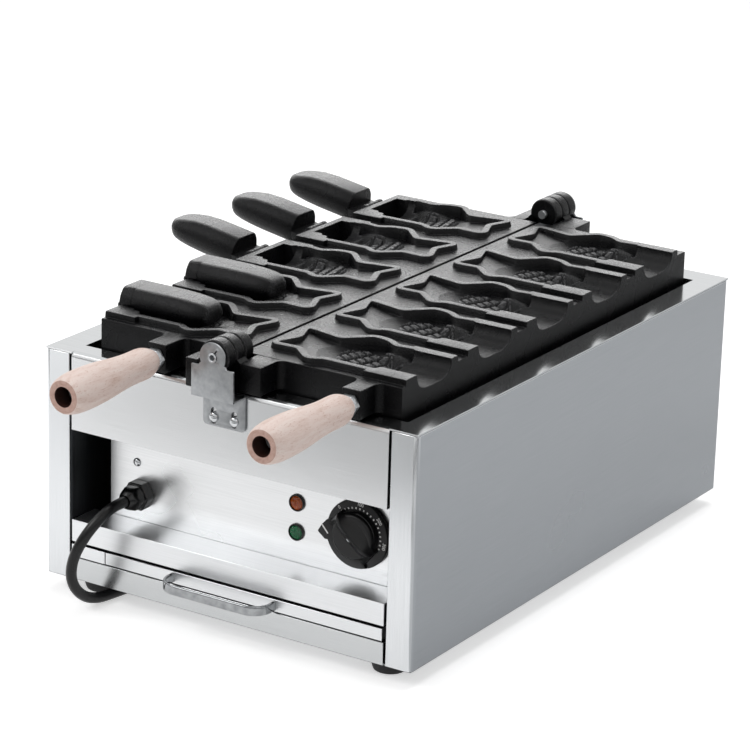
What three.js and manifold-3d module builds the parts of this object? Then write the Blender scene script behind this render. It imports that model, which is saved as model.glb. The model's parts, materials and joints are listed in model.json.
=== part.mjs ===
// Electric taiyaki machine: a steel case, two cast moulds for five fish that turn about one
// middle axis, five mouth plugs, a thermostat, a crumb drawer and a mains cord.
// Millimetres, +X to the right, +Y to the back, +Z up. The group is moved at the end so that
// its origin is on the floor, under the middle of the machine.
import * as THREE from 'three';
import { mergeVertices } from 'three/addons/utils/BufferGeometryUtils.js';
import Module from 'manifold-3d';

const wasm = await Module();
wasm.setup();

// General sizes
const fit = 0.3; // gap between pieces that touch
const overrun = 3; // how far a cut runs past its piece
const sheet = 1.5; // case steel
const roundSides = 24;
const smallSides = 12;

// Case
const caseWidth = 390;
const caseDepth = 561;
const caseHeight = 215;
const footHeight = 16;
const footRadius = 17;
const footToeRadius = 15;
const footToeHeight = 5;
const footInsetX = 40;
const footInsetY = 31;
const cornerRadius = 4;
const stileWidth = 26;
const rearFlange = 20;
const slit = 2.5; // dark slit between a stile and the apron
const frontBend = 5;
const recessHeight = 85.5; // open, between the sill and the apron
const hem = 8;
const wellGapLeft = 16; // between the left mould and the well's edge
const wellGapRight = 8;
const wellGapFront = 2;
const wellGapBack = 5;
const wellLip = 10;
const deckLeft = 27; // deck between the well and the case's left side
const deckRight = 24;
const deckFront = 22.5;
const deckBack = 26.5;
const wellFloorClear = 30; // over the thermostat
const ventCount = 12;
const ventWidth = 5;
const ventLength = 42;
const ventPitch = 20;
const ventHeight = 60;

// Control recess
const recessDepth = 34;
const panelInset = 46.6; // the panel's left end, from the case's side
const panelSkirt = 12; // below the sill
const wallDepth = 64;
const sillHeight = 57;
const sillFace = 21;
const railHeight = 21;
const railReturn = 14;
const panelScrewInset = 76; // from the case's left side
const panelScrewRise = 12; // over the knob's middle
const panelScrewRadius = 4;
const panelScrewHead = 2.4;
const screwTopShare = 0.72; // of a screw head's radius

// Thermostat, its knob and the two lamps
const knobInset = 76; // from the case's right side
const knobOverSill = 43;
const knobGap = 1.5; // behind the skirt
const skirtRadius = 32.5;
const skirtThick = 4;
const domeRadius = 23;
const domeHeight = 9;
const domeShares = [[1, 0], [0.86, 0.75], [0.6, 1]]; // of its radius and height
const knobSides = 32;
const gripBarLength = 45;
const gripBarWidth = 15;
const gripBarHeight = 18;
const gripBarTurn = -32; // degrees
const pointerReach = 6;
const pointerWidth = 12;
const spindleRadius = 3;
const spindleInKnob = 16;
const thermostatWidth = 46;
const thermostatHeight = 50;
const thermostatDepth = 38;
const lampFromKnob = 65.5;
const amberRise = 12.8; // over the knob's middle
const greenDrop = 14.5;
const lampRadius = 7.8;
const lampBezel = 8.6;
const lampProud = 5.5;
const lampBezelThick = 2;
const lampBodyRadius = 6;
const lampBodyLength = 26;
const lampShares = [[1, 0.7], [0.6, 1]]; // of its radius and of how proud it stands
const lampSides = 16;

// Drawer
const drawerHeight = 11.5;
const drawerGap = 2.5; // under the sill's face and over the rail
const drawerInset = 66; // its left end, from the case's side
const drawerClear = 121; // free behind it
const drawerSideGap = 1.5;
const runnerLip = 7;
const runnerClear = 91; // free behind the runners
const pullLength = 112;
const pullReach = 25;
const pullBend = 17;
const pullHeight = 9;
const pullThick = 2;

// Moulds: u runs from the middle axis to a mould's outer edge, w along the case
const plateTop = 28; // above the deck
const plateBottom = 9; // below the deck
const plateEndFront = 6; // plate in front of the first mouth's block
const plateEndBack = 16; // plate behind the last mouth's block
const seamGap = 1.5; // half the gap between the moulds
const ridgeHeight = 5.5;
const ridgeWidth = 6;
const ridgeDraft = 1.5;
const fishCount = 5;
const fishTail = 14;
const fishHead = 26; // from the fish's mouth to the left mould's edge
const fishGap = 28; // fish pitch less fish depth
const tailDepth = 9;
const bodyDepth = 17.5;
const bodyTaper = 6;
const blockLap = 6; // of the straight block round the mouth over the fish
const blockGap = 17; // between two blocks
const blockShift = 3.5; // of a block towards the front
const channelHalf = 28;
const channelFloorHalf = 15;
const channelShoulder = 19;
const channelDepth = 15.2;
const channelShoulderShare = 0.8; // of its depth
const channelLap = 10; // of the mouth channel over the fish
const pocketWall = 7; // outside the left mould's pocket
const pocketLength = 12;
const pocketHalf = 24;
const pocketDepth = 20;
const hollowDepth = 15;
const hollowWall = 9;
const hollowRib = 7;
const scaleRows = 3;
const scaleColumns = 5;
const scaleLength = 9.5;
const scaleWidth = 7.5;
const scaleRise = 2.4;
const scaleStart = 62;
const scaleMiddle = -11;

// Middle hinge
const partingGap = 0.25; // half the gap between closed moulds
const knuckleRadius = 15;
const hingePinRadius = 4.2;
const hingeOut = 19.5; // middle of the bracket's upright plate, outside the case
const bracketThick = 2;
const bracketHalf = 22;
const bracketUpright = 29;
const bracketEar = 13.3;
const bracketFoot = 33; // height of the lower plate
const bracketDrop = 2; // the step, below the deck
const knuckleGap = 0.8;
const knuckleWidth = 12.2;
const lugBottom = 2; // above the deck
const lugInner = 16.5;
const leftLugReach = 30;
const rightLugReach = 39;
const pinProud = 1.2;
const screwRadius = 2.5;
const screwHeadRadius = 4.6;
const screwHead = 2.6;
const screwSpacing = 21.5;
const screwRise = 8; // above the lower plate's bottom edge

// Handles
const handleFromArm = 31.5; // left handle's boss, past the hinge arm
const handleInset = 33; // right handle, from the mould's outer edge
const handleDrop = 13; // below the plate's top
const bossHalf = 9.5;
const bossProud = 3.5; // outside the case's front
const boltRadius = 4;
const boltInBoss = 18;
const boltHeadRadius = 6.5;
const boltHead = 6;
const boltHeadDepth = 22; // inside the grip's free end
const nutAcross = 17;
const nutLength = 7;
const gripLength = 124;
const gripBore = 8.6;
const gripRadius = 18.6;
const gripShares = [ // of its radius and length
  [0.74, 0], [0.78, 0.02], [0.77, 0.12], [0.755, 0.22], [0.8, 0.38], [0.91, 0.56], [1, 0.78],
  [0.985, 0.88], [0.9, 0.96], [0.76, 1],
];

// Mouth plugs
const plugDrop = 3.9; // hinge axis below the moulds' parting face
const plugAxisOut = 6; // hinge axis outside the left mould's edge
const plugKnuckle = 3.6;
const plugKnuckleHalf = 8;
const plugLugGap = 0.6;
const plugLugWidth = 6;
const plugPinRadius = 1.8;
const plugWebShare = 0.7; // of the knuckle
const plugNose = 50; // from the fish's tail to a folded plug's nose
const plugHalf = 21;
const plugFlat = 14;
const plugRise = 14.5;
const plugStepStart = 2;
const plugHeel = 15; // where the lower half starts
const plugSeatGap = 0.5;
const plugFoldedOut = 170; // degrees
const plugsFoldedIn = 2; // the front ones
const plugShares = [ // along it: its place, half width, rise above and fall below the parting face
  [0.55, 0.99, 1, 1], [0.84, 0.93, 0.97, 0.7], [0.93, 0.8, 0.9, 0.56], [0.98, 0.6, 0.76, 0.42],
  [1, 0.38, 0.5, 0.26],
];
const plugShoulderShare = 0.75; // of the way from its flat to its half width

// Heaters
const heaterRadius = 4.5;
const heaterHalf = 36;
const heaterOutLeft = 2; // past the middle of its mould
const heaterOutRight = 2.5;
const heaterInset = 49; // middle of its turn, from the well's back
const heaterTail = 8; // past the well's front wall
const heaterSides = 8;
const heaterTurnSteps = 12;
const rackShare = 22 / 51; // of the height between the well's floor and the moulds
const rackWidth = 8;
const rackInset = 84; // rear rack, from the well's back
const rackEndGap = 1;

// Cable gland, cord, coil and mains plug
const glandInset = 81.5; // from the case's left side
const glandDrop = 16.5; // under the knob's middle
const glandAcross = 25;
const glandHex = 11;
const glandDome = 13;
const glandMouth = 7.5;
const glandStub = 12;
const glandShares = [[0.8, 0], [0.76, 0.5], [0.62, 1]]; // of its corner and dome
const glandLip = 2; // the rounded mouth, past the dome
const glandStubRadius = 8;
const cordRadius = 5;
const cordSides = 8;
const cordSteps = 70;
const coilRadius = 62; // outer turn, on the cord's middle line
const coilPitch = 12.2;
const coilRise = 10.7;
const coilLayerTurns = 1.5;
const coilClimbTurns = 0.5;
const coilTopTurns = 1.25;
const coilSteps = 24; // rings in a turn
const coilSides = 6;
const coilApartShare = 1 / 3; // of a turn, where its own gap is measured
const coilX = -58;
const coilY = 362;
const boot = 44;
const bootStart = 6.2;
const bootEnd = 9;
const mainsBody = 38;
const mainsBodyRadius = 18.5;
const mainsPinRadius = 2.4;
const mainsPinLength = 19;
const mainsPinSpacing = 19;
const mainsShares = [[0.8, 0.12], [1, 0.4], [1, 1]]; // of its radius and length
const terminalLength = 40;
const terminalWidth = 20;
const terminalHeight = 16;
const terminalInset = 75; // from the case's left side
const terminalBehind = 90.5; // the case's front

// Places worked out from the sizes above
const left = -caseWidth / 2;
const right = caseWidth / 2;
const front = -caseDepth / 2;
const back = caseDepth / 2;
const caseBottom = footHeight;
const deckTop = caseBottom + caseHeight;
const deckUnder = deckTop - sheet;
const leftReach = -left - deckLeft - wellGapLeft;
const rightReach = right - deckRight - wellGapRight;
const plateFront = -front - deckFront - wellGapFront;
const plateBack = back - deckBack - wellGapBack;
const fishPitch = (plateFront + plateBack + blockGap - plateEndFront - plateEndBack) / fishCount;
const fishLength = leftReach - fishTail - fishHead;
const fishDepth = fishPitch - fishGap;
const blockStart = fishTail + fishLength - blockLap;
const blockNear = (fishPitch - blockGap) / 2 + blockShift;
const blockFar = (fishPitch - blockGap) / 2 - blockShift;
const firstMouth = -plateFront + plateEndFront + blockNear;
const channelStart = fishTail + fishLength - channelLap;
const pocketEnd = leftReach - pocketWall;
const seatEnd = pocketEnd - pocketLength;
const wellLeft = -leftReach - wellGapLeft;
const wellRight = rightReach + wellGapRight;
const wellFront = -plateFront - wellGapFront;
const wellBack = plateBack + wellGapBack;
const hingeFront = back + hingeOut;
const bossFront = back + bossProud;
const apronHalf = right - stileWidth - slit;
const knobX = right - knobInset;
const knobHeight = sillHeight + knobOverSill;
const lampX = knobX - lampFromKnob;
const amberHeight = knobHeight + amberRise;
const greenHeight = knobHeight - greenDrop;
const panelLeft = right - panelInset;
const panelScrewX = left + panelScrewInset;
const panelScrewHeight = knobHeight + panelScrewRise;
const glandX = left + glandInset;
const glandHeight = knobHeight - glandDrop;
const wellFloorHeight = knobHeight + thermostatHeight / 2 + wellFloorClear;
const rackHeight = (caseHeight - wellFloorHeight - plateBottom) * rackShare;
const rackY = wellBack - rackInset;
const heaterBack = wellBack - heaterInset;
const heaterLeftX = -leftReach / 2 - heaterOutLeft;
const heaterRightX = rightReach / 2 + heaterOutRight;
const terminalX = left + terminalInset;
const terminalY = front + terminalBehind;
const drawerLeft = right - drawerInset;
const drawerLength = caseDepth - drawerClear;
const runnerLength = caseDepth - runnerClear;
const leftHandleX = -leftLugReach - bossHalf - handleFromArm;
const rightHandleX = rightReach - handleInset;
const plugLength = leftReach + plugAxisOut - fishTail - plugNose;
const apronBottom = caseBottom + sillHeight + recessHeight;
const panelFront = front + recessDepth;
const sillTop = caseBottom + sillHeight;
const sillBottom = sillTop - sillFace;
const railTop = caseBottom + railHeight;
const drawerTop = sillBottom - drawerGap;
const drawerBottom = drawerTop - drawerHeight;
const plateZ = deckTop + plateTop;
const ridgeZ = plateZ + ridgeHeight;
const hingeZ = ridgeZ + partingGap;
const handleZ = plateZ - handleDrop;
const plugZ = ridgeZ - plugDrop;
const plugX = -leftReach - plugAxisOut;
const lugLow = deckTop + lugBottom;

const steelLook = { color: 0xc9cbcd, roughness: 0.35, metalness: 1 };
const innerSteelLook = { color: 0x8d9093, roughness: 0.5, metalness: 1 };
const castLook = { color: 0x232426, roughness: 0.5, metalness: 0.35 };
const zincLook = { color: 0xb5b8ba, roughness: 0.35, metalness: 1 };
const chromeLook = { color: 0xe4e5e6, roughness: 0.1, metalness: 1 };
const beechLook = { color: 0xdcc3b4, roughness: 0.6, metalness: 0 };
const rubberLook = { color: 0x17181a, roughness: 0.8, metalness: 0 };
const glossBlackLook = { color: 0x0e0f10, roughness: 0.25, metalness: 0 };
const knobLook = { color: 0x1b1c1e, roughness: 0.4, metalness: 0 };
const amberLook = { color: 0xb8560f, roughness: 0.2, metalness: 0 };
const greenLook = { color: 0x0d7a48, roughness: 0.2, metalness: 0 };
const ceramicLook = { color: 0xcfc8b8, roughness: 0.6, metalness: 0 };
const heaterLook = { color: 0x4c4b48, roughness: 0.55, metalness: 1 };

// A closed geometry as a solid; one that is inside out is turned round.
function solidOf(geometry) {
  geometry.deleteAttribute('normal');
  geometry.deleteAttribute('uv');
  const merged = mergeVertices(geometry);
  const vertProperties = merged.attributes.position.array;
  const triVerts = new Uint32Array(merged.index.array);
  const made = new wasm.Manifold(new wasm.Mesh({ numProp: 3, vertProperties, triVerts }));
  if (made.volume() > 0) return made;
  const turned = triVerts.slice().reverse();
  return new wasm.Manifold(new wasm.Mesh({ numProp: 3, vertProperties, triVerts: turned }));
}

function join(...solids) {
  return solids.reduce((whole, solid) => whole.add(solid));
}

function cut(solid, ...tools) {
  return tools.reduce((rest, tool) => rest.subtract(tool), solid);
}

function box(x0, x1, y0, y1, z0, z1) {
  const geometry = new THREE.BoxGeometry(x1 - x0, y1 - y0, z1 - z0);
  geometry.translate((x0 + x1) / 2, (y0 + y1) / 2, (z0 + z1) / 2);
  return solidOf(geometry);
}

// A round bar from one point to another
function bar(from, to, radius, sides = roundSides) {
  const start = new THREE.Vector3(...from);
  const run = new THREE.Vector3(...to).sub(start);
  const geometry = new THREE.CylinderGeometry(radius, radius, run.length(), sides);
  geometry.translate(0, run.length() / 2, 0);
  const upright = new THREE.Vector3(0, 1, 0);
  geometry.applyQuaternion(new THREE.Quaternion().setFromUnitVectors(upright, run.normalize()));
  geometry.translate(...from);
  return solidOf(geometry);
}

// An outline of [x, y] points raised between two heights
function prismZ(points, z0, z1) {
  const shape = new THREE.Shape(points.map(([x, y]) => new THREE.Vector2(x, y)));
  const geometry = new THREE.ExtrudeGeometry(shape, { depth: z1 - z0, bevelEnabled: false });
  geometry.translate(0, 0, z0);
  return solidOf(geometry);
}

// An outline of [y, z] points run along X
function prismX(points, x0, x1) {
  const shape = new THREE.Shape(points.map(([y, z]) => new THREE.Vector2(y, z)));
  const geometry = new THREE.ExtrudeGeometry(shape, { depth: x1 - x0, bevelEnabled: false });
  const turn = new THREE.Matrix4().set(0, 0, 1, 0, 1, 0, 0, 0, 0, 1, 0, 0, 0, 0, 0, 1);
  geometry.applyMatrix4(turn);
  geometry.translate(x0, 0, 0);
  return solidOf(geometry);
}

// An outline of [x, z] points run along Y
function prismY(points, y0, y1) {
  const shape = new THREE.Shape(points.map(([x, z]) => new THREE.Vector2(x, z)));
  const geometry = new THREE.ExtrudeGeometry(shape, { depth: y1 - y0, bevelEnabled: false });
  geometry.rotateX(Math.PI / 2);
  geometry.translate(0, y1, 0);
  return solidOf(geometry);
}

// A closed skin over rings of points with as many points each, closed at both ends
function loft(rings, flatRing) {
  if (THREE.ShapeUtils.isClockWise(flatRing)) {
    return loft(rings.map((ring) => ring.slice().reverse()), flatRing.slice().reverse());
  }
  const count = flatRing.length;
  const faces = THREE.ShapeUtils.triangulateShape(flatRing, []);
  const index = [];
  faces.forEach(([a, b, c]) => index.push(a, c, b));
  const last = (rings.length - 1) * count;
  faces.forEach(([a, b, c]) => index.push(last + a, last + b, last + c));
  for (let ring = 0; ring < rings.length - 1; ring += 1) {
    for (let k = 0; k < count; k += 1) {
      const a = ring * count + k;
      const b = ring * count + ((k + 1) % count);
      index.push(a, b, b + count, a, b + count, a + count);
    }
  }
  const geometry = new THREE.BufferGeometry();
  const positions = new Float32Array(rings.flat(2));
  geometry.setAttribute('position', new THREE.BufferAttribute(positions, 3));
  geometry.setIndex(index);
  return solidOf(geometry);
}

// Layers of { z, points } stacked along Z; every layer has the same count of [x, y] points
function stack(layers) {
  const flat = layers[0].points.map(([x, y]) => new THREE.Vector2(x, y));
  return loft(layers.map(({ z, points }) => points.map(([x, y]) => [x, y, z])), flat);
}

// Sections of { x, points } along X; every section has the same count of [y, z] points
function rowX(sections) {
  const flat = sections[0].points.map(([y, z]) => new THREE.Vector2(y, z));
  return loft(sections.map(({ x, points }) => points.map(([y, z]) => [x, y, z])), flat);
}

// A profile of [radius, height] points turned about Z
function turned(profile, sides = roundSides) {
  const geometry = new THREE.LatheGeometry(profile.map(([r, h]) => new THREE.Vector2(r, h)), sides);
  geometry.rotateX(Math.PI / 2);
  return solidOf(geometry);
}

// An outline moved outwards by a distance, or inwards by a negative one
function grown(points, distance) {
  const count = points.length;
  const area = points.reduce((sum, [x, y], k) => {
    const [nextX, nextY] = points[(k + 1) % count];
    return sum + x * nextY - nextX * y;
  }, 0);
  const side = Math.sign(area);
  const edges = points.map(([x, y], k) => {
    const [nextX, nextY] = points[(k + 1) % count];
    return new THREE.Vector2(nextY - y, x - nextX).normalize().multiplyScalar(side);
  });
  return points.map(([x, y], k) => {
    const before = edges[(k + count - 1) % count];
    const after = edges[k];
    const middle = before.clone().add(after).normalize();
    const reach = distance / Math.max(middle.dot(after), 0.5);
    return [x + middle.x * reach, y + middle.y * reach];
  });
}

function arc(centreX, centreY, radius, fromDegrees, toDegrees, steps) {
  return Array.from({ length: steps + 1 }, (_, k) => {
    const angle = THREE.MathUtils.degToRad(fromDegrees + ((toDegrees - fromDegrees) * k) / steps);
    return [centreX + radius * Math.cos(angle), centreY + radius * Math.sin(angle)];
  });
}

const machine = new THREE.Group();

function piece(name, solid, look, parent = machine) {
  const { vertProperties, triVerts } = solid.getMesh();
  const geometry = new THREE.BufferGeometry();
  geometry.setAttribute('position', new THREE.BufferAttribute(vertProperties, 3));
  geometry.setIndex(new THREE.BufferAttribute(triVerts, 1));
  geometry.computeVertexNormals();
  const mesh = new THREE.Mesh(geometry, new THREE.MeshStandardMaterial(look));
  mesh.name = name;
  parent.add(mesh);
  return mesh;
}

// A side of the case: wall, front stile and rear flange folded from one sheet
function sidePanel(side) {
  const outer = side * right;
  const bend = (y, towards) => arc(
    outer - side * cornerRadius, y + towards * cornerRadius, cornerRadius,
    side > 0 ? 0 : 180, (side > 0 ? 0 : 180) - side * towards * 90, 3);
  const stileEdge = outer - side * stileWidth;
  const flangeEdge = outer - side * rearFlange;
  const inner = outer - side * sheet;
  const outline = [
    [flangeEdge, back - sheet],
    [flangeEdge, back],
    ...bend(back, -1).reverse(),
    ...bend(front, 1),
    [stileEdge, front],
    [stileEdge, front + sheet],
    [inner, front + sheet],
    [inner, back - sheet],
  ];
  return prismZ(outline, caseBottom, deckUnder - fit);
}

function makeCase() {
  piece('side_panel_left', sidePanel(-1), steelLook);
  piece('side_panel_right', sidePanel(1), steelLook);

  const innerBend = frontBend - sheet;
  const bendY = front + frontBend;
  const bendZ = deckTop - frontBend;
  const apronOutline = [
    [wellFront, deckTop],
    ...arc(bendY, bendZ, frontBend, 90, 180, 4),
    [front, apronBottom],
    [front + hem, apronBottom],
    [front + hem, apronBottom + sheet],
    [front + sheet, apronBottom + sheet],
    ...arc(bendY, bendZ, innerBend, 180, 90, 4),
    [wellFront, deckUnder],
  ];
  const apron = prismX(apronOutline, -apronHalf, apronHalf);
  const plate = cut(
    box(left, right, front, back, deckUnder, deckTop),
    box(-apronHalf, apronHalf, front - overrun, wellFront - sheet,
      deckUnder - overrun, deckTop + overrun));
  const lips = box(wellLeft - sheet, wellRight + sheet, wellFront - sheet, wellBack + sheet,
    deckUnder - wellLip, deckTop);
  const well = box(wellLeft, wellRight, wellFront, wellBack,
    deckUnder - wellLip - overrun, deckTop + overrun);
  piece('top_deck', cut(join(plate, lips, apron), well), steelLook);

  const inner = right - sheet - fit;
  const backFace = back - sheet - fit;
  const vents = Array.from({ length: ventCount }, (_, k) => {
    const x = (k - (ventCount - 1) / 2) * ventPitch;
    const low = caseBottom + ventHeight;
    return box(x - ventWidth / 2, x + ventWidth / 2, backFace - sheet - overrun, back + overrun,
      low, low + ventLength);
  });
  const rear = box(-inner, inner, backFace - sheet, backFace, caseBottom, deckUnder - fit);
  piece('rear_panel', cut(rear, ...vents), steelLook);
  piece('base_pan', box(-inner, inner, front + sheet + fit, backFace - sheet - fit,
    caseBottom, caseBottom + sheet), innerSteelLook);

  const railOutline = [
    [front, caseBottom],
    [front, railTop],
    [front + railReturn, railTop],
    [front + railReturn, railTop - sheet],
    [front + sheet, railTop - sheet],
    [front + sheet, caseBottom],
  ];
  piece('bottom_rail', prismX(railOutline, -apronHalf, apronHalf), steelLook);

  const tubInset = sheet + fit;
  const tubFloor = caseBottom + wellFloorHeight;
  const tub = cut(
    box(wellLeft - tubInset - sheet, wellRight + tubInset + sheet,
      wellFront - tubInset - sheet, wellBack + tubInset + sheet, tubFloor, deckUnder - fit),
    box(wellLeft - tubInset, wellRight + tubInset, wellFront - tubInset, wellBack + tubInset,
      tubFloor + sheet, deckTop));
  const rackBottom = tubFloor + sheet + fit;
  const rackTop = rackBottom + rackHeight;
  const heaterZ = rackTop;
  const heaterEnd = wellFront - tubInset - sheet - heaterTail;
  const heaterHoles = [heaterLeftX, heaterRightX].flatMap((x) => [-1, 1].map((side) => bar(
    [x + side * heaterHalf, wellFront, heaterZ], [x + side * heaterHalf, heaterEnd, heaterZ],
    heaterRadius + fit, smallSides)));
  piece('heating_well', cut(tub, ...heaterHoles), innerSteelLook);
  makeHeaters(heaterZ, heaterEnd, rackBottom, rackTop);

  const footProfile = [
    [0, 0],
    [footToeRadius, 0],
    [footRadius, footToeHeight],
    [footRadius, footHeight - fit],
    [0, footHeight - fit],
  ];
  const feet = { front_left: [-1, -1], front_right: [1, -1], rear_left: [-1, 1], rear_right: [1, 1] };
  Object.entries(feet).forEach(([corner, [sideX, sideY]]) => {
    const foot = piece(`foot_${corner}`, turned(footProfile), rubberLook);
    foot.position.set(sideX * (right - footInsetX), sideY * (back - footInsetY), 0);
  });
}

// Two bent heating rods on notched racks, one under each mould
function makeHeaters(heaterZ, heaterEnd, rackBottom, rackTop) {
  const grooves = [];
  [['heater_left', heaterLeftX], ['heater_right', heaterRightX]].forEach(([name, x]) => {
    const legs = [-1, 1].map((side) => [x + side * heaterHalf, heaterZ]);
    const turnPoints = arc(x, heaterBack, heaterHalf, 180, 0, heaterTurnSteps)
      .map(([px, py]) => [px, py, heaterZ]);
    const bend = tube(turnPoints, heaterRadius, heaterSides, heaterTurnSteps).solid;
    const rods = legs.map(([legX, z]) => bar(
      [legX, heaterEnd, z], [legX, heaterBack + fit, z], heaterRadius, heaterSides));
    const seats = legs.map(([legX, z]) => bar(
      [legX, -rackY - rackWidth, z], [legX, rackY + rackWidth, z], heaterRadius + fit, smallSides));
    grooves.push(...seats);
    piece(name, join(bend, ...rods), heaterLook);
  });
  [['heater_rack_front', -rackY], ['heater_rack_rear', rackY]].forEach(([name, y]) => {
    const rack = box(wellLeft - rackEndGap, wellRight + rackEndGap, y - rackWidth / 2, y + rackWidth / 2,
      rackBottom, rackTop);
    piece(name, cut(rack, ...grooves), innerSteelLook);
  });
}

function makeRecess() {
  const flangeZ = apronBottom + sheet + fit;
  const panelOutline = [
    [panelFront, sillTop - panelSkirt],
    [panelFront, flangeZ],
    [front + sheet + fit, flangeZ],
    [front + sheet + fit, flangeZ + sheet],
    [panelFront + sheet, flangeZ + sheet],
    [panelFront + sheet, sillTop - panelSkirt],
  ];
  const hole = (x, height, radius) => bar(
    [x, panelFront - overrun, caseBottom + height],
    [x, panelFront + sheet + overrun, caseBottom + height], radius + fit, smallSides);
  piece('control_panel', cut(prismX(panelOutline, -panelLeft, apronHalf),
    hole(knobX, knobHeight, spindleRadius), hole(lampX, amberHeight, lampBodyRadius),
    hole(lampX, greenHeight, lampBodyRadius), hole(glandX, glandHeight, glandStubRadius),
    hole(panelScrewX, panelScrewHeight, panelScrewRadius / 2)), steelLook);

  const wallX = left + stileWidth;
  const wallFront = front + sheet + fit;
  const wallOutline = [
    [wallX + fit, wallFront],
    [wallX + fit, wallFront + wallDepth],
    [wallX + fit + sheet, wallFront + wallDepth],
    [wallX + fit + sheet, wallFront],
    [wallX + fit + sheet, wallFront - fit],
    [wallX + fit, wallFront - fit],
  ];
  const wallFlange = box(wallX - hem, wallX + fit + sheet, wallFront, wallFront + sheet,
    sillBottom, flangeZ - fit);
  piece('recess_wall_left',
    join(prismZ(wallOutline, sillBottom, flangeZ - fit), wallFlange), innerSteelLook);

  const sillOutline = [
    [panelFront - fit, sillTop],
    [front, sillTop],
    [front, sillBottom],
    [front + hem, sillBottom],
    [front + hem, sillBottom + sheet],
    [front + sheet, sillBottom + sheet],
    [front + sheet, sillTop - sheet],
    [panelFront - fit, sillTop - sheet],
  ];
  piece('sill', prismX(sillOutline, -apronHalf, apronHalf), steelLook);

  const topRadius = panelScrewRadius * screwTopShare;
  const head = [[0, 0], [panelScrewRadius, 0], [topRadius, panelScrewHead], [0, panelScrewHead]];
  const stem = bar([0, 0, fit / 2], [0, 0, -sheet - overrun], panelScrewRadius / 2, smallSides);
  const screw = piece('panel_screw', join(turned(head, smallSides), stem), chromeLook);
  screw.position.set(panelScrewX, panelFront - fit, caseBottom + panelScrewHeight);
  screw.rotation.x = Math.PI / 2;
}

// Pieces on the control panel are turned about Z and laid so that they face the front
function facingFront(mesh, x, height) {
  mesh.position.set(x, panelFront, caseBottom + height);
  mesh.rotation.x = Math.PI / 2;
}

function makeControls() {
  const spindleEnd = thermostatDepth / 2;
  const knobBack = knobGap;
  const skirtTop = knobBack + skirtThick;
  const knobProfile = [
    [0, knobBack],
    [skirtRadius, knobBack],
    [skirtRadius, skirtTop],
    ...domeShares.map(([r, h]) => [domeRadius * r, skirtTop + domeHeight * h]),
    [0, skirtTop + domeHeight],
  ];
  const barGeometry = new THREE.BoxGeometry(gripBarLength, gripBarWidth, gripBarHeight);
  barGeometry.translate(0, 0, skirtTop + gripBarHeight / 2);
  barGeometry.rotateZ(THREE.MathUtils.degToRad(gripBarTurn));
  const pointer = box(-skirtRadius - pointerReach, -skirtRadius + pointerWidth,
    -pointerWidth / 2, pointerWidth / 2, knobBack, skirtTop);
  const knobBore = bar([0, 0, knobBack - overrun], [0, 0, knobBack + spindleInKnob + fit],
    spindleRadius + fit, smallSides);
  const knobSolid = cut(join(turned(knobProfile, knobSides), solidOf(barGeometry), pointer), knobBore);
  facingFront(piece('knob', knobSolid, knobLook), knobX, knobHeight);
  const spindle = bar(
    [0, 0, -sheet - spindleEnd], [0, 0, knobBack + spindleInKnob], spindleRadius, smallSides);
  facingFront(piece('knob_spindle', spindle, zincLook), knobX, knobHeight);

  const bodyBack = -sheet - fit - thermostatDepth;
  const thermostat = cut(
    box(-thermostatWidth / 2, thermostatWidth / 2, -thermostatHeight / 2, thermostatHeight / 2,
      bodyBack, -sheet - fit),
    bar([0, 0, -sheet - spindleEnd - fit], [0, 0, overrun], spindleRadius + fit, smallSides));
  facingFront(piece('thermostat', thermostat, ceramicLook), knobX, knobHeight);

  const lampProfile = [
    [0, -lampBodyLength],
    [lampBodyRadius, -lampBodyLength],
    [lampBodyRadius, fit],
    [lampBezel, fit],
    [lampBezel, lampBezelThick],
    [lampRadius, lampBezelThick],
    ...lampShares.map(([r, h]) => [lampRadius * r, lampProud * h]),
    [0, lampProud],
  ];
  facingFront(piece('lamp_amber', turned(lampProfile, lampSides), amberLook), lampX, amberHeight);
  facingFront(piece('lamp_green', turned(lampProfile, lampSides), greenLook), lampX, greenHeight);

  const floorTop = caseBottom + sheet + fit;
  piece('terminal_block', box(terminalX - terminalLength / 2, terminalX + terminalLength / 2,
    terminalY - terminalWidth / 2, terminalY + terminalWidth / 2,
    floorTop, floorTop + terminalHeight), ceramicLook);
}

const drawer = new THREE.Group();
machine.add(drawer);

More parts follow.
